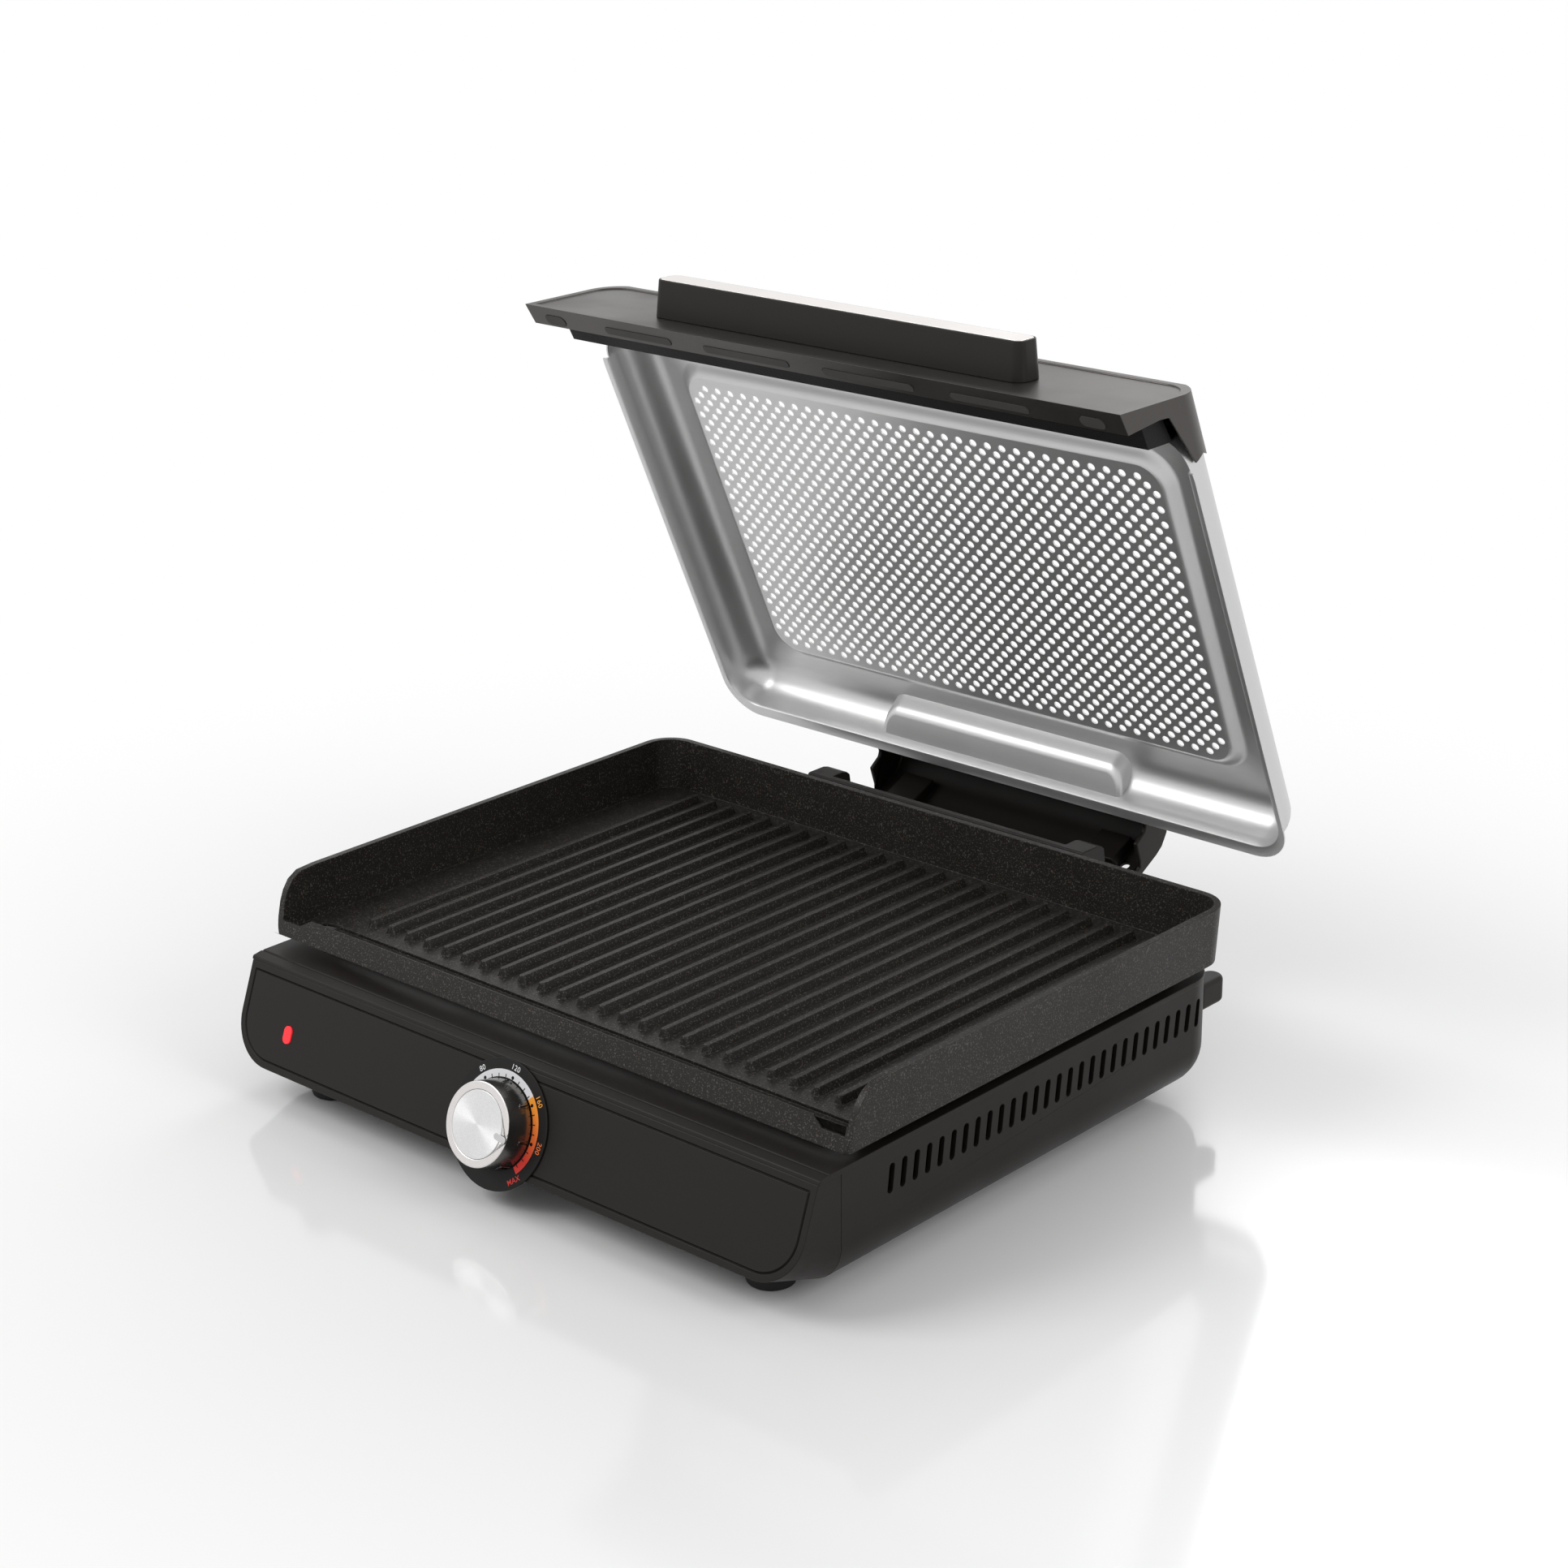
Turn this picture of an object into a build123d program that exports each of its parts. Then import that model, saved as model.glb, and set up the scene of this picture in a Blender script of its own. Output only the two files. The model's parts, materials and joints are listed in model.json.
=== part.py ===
from build123d import *
import math
import os

os.makedirs("parts", exist_ok=True)

# Millimetres, X to the right, Y to the rear, Z up, floor at Z 0. The lid is drawn in its
# closed place on planes that carry it round the hinge to the opening angle shown.

# base
width = 417.0                # over the sides of the base
base_depth = 336.0           # top front edge of the fascia to the rear wall
front_y = -198.0             # where the top front edge of the fascia lies
foot_height = 9.0
base_height = 67.0           # underside of the base to the deck
base_wall = 2.5
base_corner = 28.0           # rear corners in plan
base_edge = 25.0             # lower side and rear edges
rear_seam = 8.5              # rear panel joint ahead of the rear wall
pad_height = 3.5             # thickened floor over each foot
foot_d = 25.5
foot_side = 45.0             # foot centre inside the side of the base
foot_front = 15.0
foot_behind = 32.0           # rear foot centre ahead of the rear wall
foot_bore = 5.0              # counterbore depth in a foot
# vent slots in the side walls
slot_count = 28
slot_first = 53.15
slot_behind = 24.3           # last slot ahead of the rear wall
slot_w = 4.0
slot_h = 16.0
slot_z = 56.2
slot_lean = 7.5
# deck
deck_thickness = 3.0
deck_overhang = 0.7
deck_facet = 6.0             # sloped front facet
facet_drop = 1.0
deck_side = 28.5             # opening for the tray inside the side of the base
deck_open_front = 48.0
deck_behind = 30.0
boss_r = 5.0
boss_side = 88.5
boss_front = 28.0
boss_behind = 19.0
# fascia
fascia_tilt = 20.2
fascia_height = 54.0         # vertical height of the sloped face
fascia_joint = 16.0          # rear face of the fascia behind the front edge
fascia_corner = 27.0
fascia_wall = 3.0
fascia_line = 4.0            # fine line inside the outline
line_w = 0.8
line_depth = 0.5
control_drop = 34.6          # dial and lamp centre below the front edge, along the slope
lamp_side = 40.2             # lens inside the left side of the base
lens_w = 6.0
lens_h = 10.0
lens_proud = 0.6
# dial and knob
dial_r = 34.5
dial_thickness = 1.2
knob_r = 24.0
knob_top_r = 22.3
knob_height = 15.1
knob_gap = 0.4
knob_rib_count = 8
cap_disc_r = 17.8
cap_disc_t = 0.8
pointer_in = 13.5
pointer_out = 22.0
pointer_w = 3.5
pointer_angle = 97.0         # clockwise from the top
shaft_r = 3.0
bushing_r = 4.5
# thermostat behind the fascia
stat_w = 34.0
stat_h = 28.0
stat_depth = 22.0
stat_plate = 1.5
# tray, plate and heater
sheet = 1.0
tray_depth = 15.0
tray_lip = 6.0
plate_overhang = 4.0         # rim of the plate outside the base
plate_front = 18.0
plate_rear_over = 2.0
plate_height = 38.0          # seat to rim
plate_wall = 4.0
plate_skirt = 5.0            # lower edge of the plate wall above the seat
plate_floor = 7.0            # cooking floor above the seat
plate_taper = 3.47
plate_corner = 20.0
belly_side = 18.5
belly_front = 32.0
belly_behind = 11.0
belly_recess = 3.0
lip_height = 18.0            # front lip above the seat
spout_height = 13.0
spout_side = 16.5
rib_side = 25.0              # least room beside the outer ribs
rib_pitch = 15.0
rib_w = 6.5
rib_h = 4.5
rib_front = 54.0
rib_behind = 14.0
channel_depth = 2.0
element_r = 3.5
# hinge
tower_x_in = 87.5
tower_x_out = 103.5
tower_front = 8.0            # behind the rear rim of the plate
tower_depth = 29.0
tower_height = 36.3          # above the deck
housing_floor = 20.0         # floor between the towers below the deck
housing_foot = 38.0          # lower edge of the housing below the deck
ridge_depth = 5.0
pin_back = 18.4              # hinge pin behind the front of the towers
pin_drop = 6.1               # hinge pin below the deck
pin_r = 4.0
arm_in = 64.0
arm_out = 86.0
hub_r = 11.0
washer_r = 8.0
washer_t = 1.2
lid_open = 65.9              # opening angle shown
# lid
lid_gap = 3.0                # rim of the lid over the rim of the plate
lid_rear_in = 4.0            # rear edge of the lid ahead of the plate's rear rim
lid_front = 46.0             # hidden front wall of the lid
lid_height = 26.0            # rim to the underside of the top
flange_side = 4.0
flange_rear = 7.6
lid_edge = 18.0
lid_corner = 20.0
screen_side = 39.5           # screen inside the side of the base
screen_front = 84.5
screen_behind = 48.0
screen_corner = 14.0
frame_edge = 2.0             # flat edge of the pressing around the screen
screen_hole_d = 4.8
screen_hole_step = 5.0       # between rows, and half the pitch along a row
screen_hole_edge = 4.0       # least room from a hole's centre to the screen's edge
screen_hole_start = 7.5      # first row behind the screen's front edge
press_depth = 6.0
press_run = 5.0
pocket_x = 90.0
pocket_front = 25.7          # front edge of the pocket ahead of the lid's rear edge
pocket_ridge = 22.0          # ridge of the pocket ahead of the lid's rear edge
pocket_deep = 11.2           # ridge below the underside of the top
pocket_low = 19.0
pocket_corner = 11.0
pocket_round = 3.5
# cap, liner and handle
cap_end = 1.3
cap_clear = 0.2
cap_wall = 2.5
cap_top = 1.5
cap_corner = 20.0
cap_rear = 72.0
cap_drop = 39.5              # lower front edge below the rim of the lid
panel_border = 4.5
panel_depth = 0.7
liner_side = 5.5
liner_t = 1.5
handle_x = 130.0
handle_wall = 2.5
handle_corner = 8.0
trim_t = 0.8
trim_border = 1.2
bracket_x = 101.6
bracket_wall = 3.0
# fits
running = 0.05
loose = 0.3

side_x = width / 2
foot_x = side_x - foot_side
foot_rear = base_depth - foot_behind
slot_last = base_depth - slot_behind
deck_open_x = side_x - deck_side
deck_open_rear = base_depth - deck_behind
boss_x = side_x - boss_side
boss_rear = base_depth - boss_behind
lamp_x = lamp_side - side_x
belly_x = side_x - belly_side
belly_rear = base_depth - belly_behind
spout_x = side_x - spout_side
rib_rear = base_depth - rib_behind
screen_x = side_x - screen_side
screen_rear = base_depth - screen_behind
liner_x = side_x - liner_side
rear_y = front_y + base_depth
deck_top = foot_height + base_height
deck_low = deck_top - deck_thickness
joint_y = front_y + fascia_joint
seam_y = rear_y - rear_seam
seat_z = deck_top + sheet
rim_z = seat_z + plate_height
floor_z = seat_z + plate_floor
plate_rear = rear_y + plate_rear_over
tower_y = plate_rear + tower_front
hinge_y = tower_y + pin_back
hinge_z = deck_top - pin_drop
lid_z = rim_z + lid_gap
lid_rear = plate_rear - lid_rear_in
facet_z = deck_top - facet_drop


def yz(points):
    return [(front_y + y, z) for y, z in points]


# ---------------------------------------------------------------- base housing
# One moulding in the round: rear corners R28, lower edges R25, open on top and in front.
with BuildPart() as base_form:
    with BuildSketch(Plane.XY.offset(foot_height)):
        with Locations((0, (joint_y + rear_y) / 2)):
            Rectangle(width, rear_y - joint_y)
        fillet(vertices().group_by(Axis.Y)[-1], base_corner)
    extrude(amount=deck_low - foot_height)
    fillet(edges().group_by(Axis.Z)[0].sort_by(Axis.Y)[1:], base_edge)

with BuildPart() as base_hollow:
    with BuildSketch(Plane.XY.offset(foot_height + base_wall)):
        with Locations((0, (joint_y - 1 + rear_y - base_wall) / 2)):
            Rectangle(width - 2 * base_wall, rear_y - base_wall - joint_y + 1)
        fillet(vertices().group_by(Axis.Y)[-1], base_corner - base_wall)
    extrude(amount=deck_top - foot_height)
    fillet(edges().group_by(Axis.Z)[0].sort_by(Axis.Y)[1:], base_edge - base_wall)

with BuildPart() as base_shell:
    add(base_form.part)
    add(base_hollow.part, mode=Mode.SUBTRACT)

feet_points = [(sx * foot_x, front_y + y) for sx in (-1, 1) for y in (foot_front, foot_rear)]
boss_points = [(sx * boss_x, front_y + y) for sx in (-1, 1) for y in (boss_front, boss_rear)]
boss_seat = foot_height + base_wall + 3.0
cover_side = 63.5
cover_ahead = 42.0
cover_behind = 40.0
cover_x = side_x - cover_side
cover_front = front_y + cover_ahead
cover_rear = rear_y - cover_behind
cover_t = 1.2
cover_lap = 10.0
cover_y = (cover_front + cover_rear) / 2
cover_long = cover_rear - cover_front
screw_r = 2.0
screw_head_r = 3.8
screw_head_h = 2.2
cover_points = [(sx * (cover_x - 5), y) for sx in (-1, 1) for y in (cover_front + 5, cover_rear - 5)]

# side walls and floor between the fascia and the rear panel
with BuildPart() as side_wrap:
    add(base_shell.part)
    split(bisect_by=Plane.XZ.offset(-seam_y), keep=Keep.TOP)
    with BuildSketch(Plane.XY.offset(foot_height)):
        with Locations(feet_points):
            Circle(foot_d / 2 + 0.7)
    extrude(amount=pad_height)
    with BuildSketch(Plane.XY.offset(foot_height + base_wall / 2)):
        with Locations(boss_points):
            Circle(boss_r + 1.5)
    extrude(amount=boss_seat - foot_height - base_wall / 2)
    with BuildSketch(Plane.XY.offset(foot_height)):
        with Locations((0, cover_y)):
            Rectangle(2 * (cover_x - cover_lap), cover_long - 2 * cover_lap)
        with Locations(feet_points + boss_points + cover_points):
            Circle(screw_r + running)
    extrude(amount=base_height / 2, mode=Mode.SUBTRACT)
    with BuildSketch(Plane.XY.offset(foot_height - 1)):
        with Locations(boss_points):
            Circle(screw_head_r + 0.5)
    extrude(amount=1 + screw_head_h + 1, mode=Mode.SUBTRACT)
    slot_mid = front_y + (slot_first + slot_last) / 2
    with BuildSketch(Plane.YZ):
        with Locations((slot_mid, slot_z)):
            with GridLocations((slot_last - slot_first) / (slot_count - 1), 0, slot_count, 1):
                SlotOverall(slot_h, slot_w, rotation=90 - slot_lean)
    extrude(amount=width, both=True, mode=Mode.SUBTRACT)

# rear panel with the hole for the mains lead
gland_side = 68.5
gland_x = side_x - gland_side
gland_z = 46.0
gland_r = 7.0
gland_flange_r = 9.5
gland_flange_t = 2.5
lead_r = 3.4
with BuildPart() as rear_panel:
    add(base_shell.part)
    split(bisect_by=Plane.XZ.offset(-seam_y), keep=Keep.BOTTOM)
    with BuildSketch(Plane.XZ.offset(-rear_y)):
        with Locations((gland_x, gland_z)):
            Circle(gland_r + running)
    extrude(amount=base_wall * 2, mode=Mode.SUBTRACT)

# ---------------------------------------------------------------- fascia
# A shell between its sloped face and the upright joint with the side walls.
slope = math.radians(fascia_tilt)
fascia_normal = (0, -math.cos(slope), math.sin(slope))
fascia_plane = Plane(origin=(0, front_y, facet_z), x_dir=(1, 0, 0), z_dir=fascia_normal)
face_top = -(facet_z - deck_low) / math.cos(slope)
face_low = -fascia_height / math.cos(slope)
control_points = [(0, -control_drop), (lamp_x, -control_drop)]
knob_origin = fascia_plane.from_local_coords(Vector(0, -control_drop, 0))
knob_plane = Plane(origin=knob_origin, x_dir=(1, 0, 0), z_dir=fascia_normal)
lamp_origin = fascia_plane.from_local_coords(Vector(lamp_x, -control_drop, 0))
lamp_plane = Plane(origin=lamp_origin, x_dir=(1, 0, 0), z_dir=fascia_normal)

with BuildPart() as fascia_hollow:
    with BuildSketch(fascia_plane.offset(-fascia_wall)):
        with Locations((0, (face_top + face_low) / 2)):
            Rectangle(width - 2 * fascia_wall, face_top - face_low - 2 * fascia_wall)
        fillet(vertices().group_by(Axis.Y)[0], fascia_corner - fascia_wall)
    with BuildSketch(Plane.XZ.offset(-joint_y)):
        with Locations((0, (deck_low + foot_height) / 2)):
            Rectangle(width - 2 * base_wall, deck_low - foot_height - 2 * base_wall)
        fillet(vertices().group_by(Axis.Y)[0], base_edge - base_wall)
    loft(ruled=True)

with BuildPart() as front_fascia:
    with BuildSketch(fascia_plane):
        with Locations((0, (face_top + face_low) / 2)):
            Rectangle(width, face_top - face_low)
        fillet(vertices().group_by(Axis.Y)[0], fascia_corner)
    with BuildSketch(Plane.XZ.offset(-joint_y)):
        with Locations((0, (deck_low + foot_height) / 2)):
            Rectangle(width, deck_low - foot_height)
        fillet(vertices().group_by(Axis.Y)[0], base_edge)
    loft(ruled=True)
    add(fascia_hollow.part, mode=Mode.SUBTRACT)
    with BuildSketch(fascia_plane):
        with Locations((0, (face_top + face_low) / 2)):
            Rectangle(width - 2 * fascia_line, face_top - face_low - 2 * fascia_line)
            fillet(vertices().group_by(Axis.Y)[0], fascia_corner - fascia_line)
            offset(amount=-line_w, mode=Mode.SUBTRACT)
    extrude(amount=-line_depth, mode=Mode.SUBTRACT)
    with BuildSketch(knob_plane):
        Circle(bushing_r + loose)
    extrude(amount=-2 * fascia_wall, mode=Mode.SUBTRACT)
    with BuildSketch(lamp_plane):
        SlotOverall(lens_h + 2 * running, lens_w + 2 * running, rotation=90)
    extrude(amount=-2 * fascia_wall, mode=Mode.SUBTRACT)
    with BuildSketch(Plane.XY.offset(foot_height - 1)):
        with Locations(feet_points):
            Circle(foot_d / 2 + 0.7 + loose)
    extrude(amount=1 + pad_height + loose, mode=Mode.SUBTRACT)

# ---------------------------------------------------------------- deck
deck_front_low = front_y - (facet_z - deck_low) * math.tan(slope)
deck_opening_y = front_y + (deck_open_front + deck_open_rear) / 2
deck_opening = deck_open_rear - deck_open_front
groove_w = 1.2
with BuildPart() as top_cover:
    with BuildSketch(Plane.YZ):
        with BuildLine():
            Polyline(
                (deck_front_low, deck_low),
                (front_y, facet_z),
                (front_y + deck_facet, deck_top),
                (front_y + deck_facet, deck_top - line_depth),
                (front_y + deck_facet + groove_w, deck_top - line_depth),
                (front_y + deck_facet + groove_w, deck_top),
                (rear_y, deck_top),
                (rear_y, deck_low),
                close=True,
            )
        make_face()
    extrude(amount=side_x + deck_overhang, both=True)
    with BuildSketch(Plane.XY.offset(deck_low)):
        with Locations((0, (front_y + rear_y) / 2)):
            Rectangle(width + 2 * deck_overhang, base_depth + 8)
        with Locations((0, rear_y - base_depth / 2)):
            Rectangle(width + 2 * deck_overhang, base_depth, mode=Mode.INTERSECT)
        fillet(vertices().group_by(Axis.Y)[-1], base_corner + deck_overhang)
        with Locations((0, front_y)):
            Rectangle(width + 2 * deck_overhang, 8)
    extrude(amount=deck_thickness, mode=Mode.INTERSECT)
    with BuildSketch(Plane.XY.offset(boss_seat)):
        with Locations(boss_points):
            Circle(boss_r)
    extrude(amount=deck_low - boss_seat)
    with BuildSketch(Plane.XY.offset(boss_seat)):
        with Locations(boss_points):
            Circle(screw_r + running)
    extrude(amount=12, mode=Mode.SUBTRACT)
    with BuildSketch(Plane.XY.offset(deck_low)):
        with Locations((0, deck_opening_y)):
            RectangleRounded(2 * deck_open_x, deck_opening, 14)
    extrude(amount=deck_thickness, mode=Mode.SUBTRACT)

# ---------------------------------------------------------------- underside
with BuildPart() as bottom_cover:
    with BuildSketch(Plane.XY.offset(foot_height - cover_t)):
        with Locations((0, cover_y)):
            RectangleRounded(2 * cover_x, cover_long, 6)
        with Locations(cover_points):
            Circle(screw_r + running, mode=Mode.SUBTRACT)
        with Locations((0, cover_y)):
            with GridLocations(16, 60, 9, 2):
                SlotOverall(40, 4, rotation=90, mode=Mode.SUBTRACT)
    extrude(amount=cover_t)

with BuildPart() as feet:
    with BuildSketch():
        with Locations(feet_points):
            Circle(foot_d / 2)
    extrude(amount=foot_height)
    chamfer(edges().group_by(Axis.Z)[0], 1)
    with BuildSketch():
        with Locations(feet_points):
            Circle(screw_head_r + 1)
    extrude(amount=foot_bore, mode=Mode.SUBTRACT)
    with BuildSketch(Plane.XY.offset(foot_bore)):
        with Locations(feet_points):
            Circle(screw_r + running)
    extrude(amount=foot_height - foot_bore, mode=Mode.SUBTRACT)


def screws(points, seat, length):
    """Pan-head screws driven upwards, heads under the seat."""
    with BuildPart() as group:
        with BuildSketch(Plane.XY.offset(seat - screw_head_h)):
            with Locations(points):
                Circle(screw_head_r)
        extrude(amount=screw_head_h)
        with BuildSketch(Plane.XY.offset(seat)):
            with Locations(points):
                Circle(screw_r)
        extrude(amount=length)
    return group.part


foot_screws = screws(feet_points, foot_bore, foot_height - foot_bore + pad_height)
cover_screws = screws(cover_points, foot_height - cover_t, cover_t + base_wall)
deck_screws = screws(boss_points, foot_height + screw_head_h + 1, 14)

# ---------------------------------------------------------------- reflector tray
tray_x = deck_open_x - loose
tray_long = deck_opening - 2 * loose
tray_floor = deck_top - tray_depth
leg_in = 30.0                # inner legs of the element
leg_side = 25.0              # outer legs inside the opening for the tray
leg_gap = 65.0               # between outer and middle legs
leg_ahead = 37.0             # front turns behind the front of the opening
leg_behind = 21.0            # rear leg ahead of the rear of the opening
turn_behind = 55.0           # middle turn ahead of the rear leg
drop_ahead = 24.0            # cold ends behind the front of the opening
leg_out = deck_open_x - leg_side
leg_mid = leg_out - leg_gap
leg_front = front_y + deck_open_front + leg_ahead
leg_rear = front_y + deck_open_rear - leg_behind
leg_turn = leg_rear - turn_behind
drop_y = front_y + deck_open_front + drop_ahead
sensor_r = 3.0
sensor_long = 70.0
sensor_y = drop_y + 48.0
capillary_r = 0.9
capillary_y = drop_y + 26.0
with BuildPart() as reflector_tray:
    with BuildSketch(Plane.XY.offset(tray_floor)):
        with Locations((0, deck_opening_y)):
            RectangleRounded(2 * tray_x, tray_long, 13)
    extrude(amount=tray_depth)
    with BuildSketch(Plane.XY.offset(deck_top)):
        with Locations((0, deck_opening_y)):
            RectangleRounded(2 * (tray_x + tray_lip), tray_long + 2 * tray_lip, 18)
    extrude(amount=sheet)
    with BuildSketch(Plane.XY.offset(tray_floor + sheet)):
        with Locations((0, deck_opening_y)):
            RectangleRounded(2 * (tray_x - sheet), tray_long - 2 * sheet, 12)
    extrude(amount=tray_depth, mode=Mode.SUBTRACT)
    with BuildSketch(Plane.XY.offset(tray_floor)):
        with Locations((-leg_in, drop_y), (leg_in, drop_y)):
            Circle(element_r + loose)
        with Locations((0, capillary_y)):
            Circle(capillary_r + loose)
    extrude(amount=sheet, mode=Mode.SUBTRACT)

# ---------------------------------------------------------------- cooking plate
plate_x = side_x + plate_overhang
plate_grow = (plate_height - plate_skirt) * math.tan(math.radians(plate_taper))
plate_low_x = plate_x - plate_grow
plate_low_rear = plate_rear - plate_grow
plate_y0 = front_y + plate_front
plate_mid = (plate_y0 + plate_low_rear) / 2
skirt_z = seat_z + plate_skirt
inner_grow = plate_grow * (plate_height - plate_floor) / (plate_height - plate_skirt)
inner_x = plate_x - plate_wall - inner_grow
rib_count = int(2 * (inner_x - rib_side) / rib_pitch)
inner_front = plate_y0 + plate_wall + 0.6
inner_rear = plate_rear - plate_wall - inner_grow
lip_z = seat_z + lip_height
spout_z = seat_z + spout_height
# front outline of the side walls: distance behind the plate's front, height above the skirt
horn = [(0, 0), (2.7, 9), (5.4, 18), (8, 23.5), (12, 28.6), (18.5, 32.2), (30, 33)]
horn_points = [(plate_y0 + y, skirt_z + z) for y, z in horn]
with BuildPart() as grill_plate:
    with BuildSketch(Plane.XY.offset(skirt_z)):
        with Locations((0, plate_mid)):
            Rectangle(2 * plate_low_x, plate_low_rear - plate_y0)
        fillet(vertices().group_by(Axis.Y)[-1], plate_corner - plate_grow)
        fillet(vertices().group_by(Axis.Y)[0], 4)
    extrude(amount=rim_z - skirt_z, taper=-plate_taper)
    with BuildSketch(Plane.XY.offset(seat_z)):
        with Locations((0, front_y + (belly_front + belly_rear) / 2)):
            RectangleRounded(2 * belly_x, belly_rear - belly_front, 14)
    extrude(amount=plate_skirt)
    with BuildSketch(Plane.XY.offset(floor_z)):
        with Locations((0, (inner_front + inner_rear) / 2)):
            Rectangle(2 * inner_x, inner_rear - inner_front)
        fillet(vertices().group_by(Axis.Y)[-1], plate_corner - plate_grow - plate_wall)
    extrude(amount=rim_z - floor_z, taper=-plate_taper, mode=Mode.SUBTRACT)
    with BuildSketch(Plane.YZ):
        with BuildLine():
            Polyline(
                *horn_points,
                (plate_y0 + horn[-1][0], rim_z + 5),
                (plate_y0 - 15, rim_z + 5),
                (plate_y0 - 15, skirt_z),
                close=True,
            )
        make_face()
    extrude(amount=plate_x + 5, both=True, mode=Mode.SUBTRACT)
    with BuildSketch(Plane.XZ.offset(-(plate_y0 + horn[-1][0]))):
        with BuildLine():
            Polyline(
                (-inner_x, rim_z + 5),
                (-inner_x, spout_z),
                (-spout_x, spout_z),
                (8 - spout_x, lip_z),
                (spout_x - 6, lip_z),
                (spout_x, spout_z),
                (inner_x, spout_z),
                (inner_x, rim_z + 5),
                close=True,
            )
        make_face()
    extrude(amount=horn[-1][0] + 10, mode=Mode.SUBTRACT)
    with BuildSketch(Plane.XY.offset(floor_z - channel_depth)):
        with Locations((0, inner_front + 13)):
            SlotOverall(2 * inner_x - 14, 18)
    extrude(amount=channel_depth, mode=Mode.SUBTRACT)
    with BuildSketch(Plane.XY.offset(floor_z)):
        with Locations((0, front_y + (rib_front + rib_rear) / 2)):
            with GridLocations(rib_pitch, 0, rib_count, 1):
                SlotOverall(rib_rear - rib_front, rib_w, rotation=90)
    extrude(amount=rib_h, taper=20)
    with BuildSketch(Plane.XY.offset(seat_z)):
        with Locations((0, deck_opening_y)):
            RectangleRounded(2 * (deck_open_x - 8), deck_opening - 12, 12)
    extrude(amount=belly_recess, mode=Mode.SUBTRACT)

# ---------------------------------------------------------------- heating element
element_z = seat_z + belly_recess - element_r
block_z = tray_floor - 14.0
element_end = tray_floor - 6.0
element_points = [
    (-leg_in, drop_y, element_end),
    (-leg_in, drop_y, element_z),
    (-leg_in, leg_turn, element_z),
    (-leg_mid, leg_turn, element_z),
    (-leg_mid, leg_front, element_z),
    (-leg_out, leg_front, element_z),
    (-leg_out, leg_rear, element_z),
    (leg_out, leg_rear, element_z),
    (leg_out, leg_front, element_z),
    (leg_mid, leg_front, element_z),
    (leg_mid, leg_turn, element_z),
    (leg_in, leg_turn, element_z),
    (leg_in, drop_y, element_z),
    (leg_in, drop_y, element_end),
]
bend_r = 24.0
drop_r = 10.0
with BuildPart() as heating_element:
    with BuildLine():
        FilletPolyline(*element_points, radius=[drop_r] + [bend_r] * 10 + [drop_r])
    with BuildSketch(Plane(origin=element_points[0])):
        Circle(element_r)
    sweep()

pin_points = [(-leg_in, drop_y), (leg_in, drop_y)]
terminal_r = 1.6
terminal_out = 4.0
with BuildPart() as element_terminals:
    with BuildSketch(Plane.XY.offset(block_z - terminal_out)):
        with Locations(pin_points):
            Circle(terminal_r)
    extrude(amount=element_end - block_z + terminal_out)

with BuildPart() as terminal_block:
    with BuildSketch(Plane.XY.offset(block_z)):
        with Locations((0, drop_y)):
            RectangleRounded(2 * leg_in + 24, 18, 3)
        with Locations(pin_points):
            Circle(terminal_r + running, mode=Mode.SUBTRACT)
    extrude(amount=tray_floor - block_z)
    with BuildSketch(Plane.XY.offset(element_end)):
        with Locations(pin_points):
            Circle(element_r + running)
    extrude(amount=tray_floor - element_end, mode=Mode.SUBTRACT)

saddle_t = 1.5
saddle_w = 16.0
saddle_points = [(sx * x, y) for sx in (-1, 1) for x, y in ((leg_out, -40.0), (leg_out, 50.0), (leg_mid, -30.0))]
with BuildPart() as element_saddles:
    for saddle_x, saddle_y in saddle_points:
        with BuildSketch(Plane.XZ.offset(-(deck_opening_y + saddle_y))):
            with Locations((saddle_x, (tray_floor + sheet + element_z) / 2)):
                Rectangle(saddle_w, element_z - tray_floor - sheet)
            with Locations((saddle_x, element_z)):
                Circle(element_r + running, mode=Mode.SUBTRACT)
        extrude(amount=saddle_t)

# ---------------------------------------------------------------- thermostat and lamp
with BuildPart() as thermostat_bracket:
    with BuildSketch(knob_plane.offset(-fascia_wall - stat_plate)):
        Rectangle(stat_w + 26, stat_h - 4)
        Circle(bushing_r + running, mode=Mode.SUBTRACT)
        with Locations((-stat_w / 2 - 7, 0), (stat_w / 2 + 7, 0)):
            Circle(screw_r + running, mode=Mode.SUBTRACT)
    extrude(amount=stat_plate)

with BuildPart() as thermostat_screws:
    with BuildSketch(knob_plane.offset(-fascia_wall - stat_plate - screw_head_h)):
        with Locations((-stat_w / 2 - 7, 0), (stat_w / 2 + 7, 0)):
            Circle(screw_head_r)
    extrude(amount=screw_head_h)
    with BuildSketch(knob_plane.offset(-fascia_wall - stat_plate)):
        with Locations((-stat_w / 2 - 7, 0), (stat_w / 2 + 7, 0)):
            Circle(screw_r)
    extrude(amount=stat_plate)

stat_back = fascia_wall + stat_plate + stat_depth
bore_depth = fascia_wall + stat_plate + 12.0
with BuildPart() as thermostat_body:
    with BuildSketch(knob_plane.offset(-stat_back)):
        RectangleRounded(stat_w, stat_h, 3)
    extrude(amount=stat_depth)
    with BuildSketch(knob_plane.offset(-fascia_wall - stat_plate)):
        Circle(bushing_r)
    extrude(amount=fascia_wall + stat_plate)
    with BuildSketch(knob_plane):
        Circle(shaft_r + running)
    extrude(amount=-bore_depth, mode=Mode.SUBTRACT)

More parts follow.
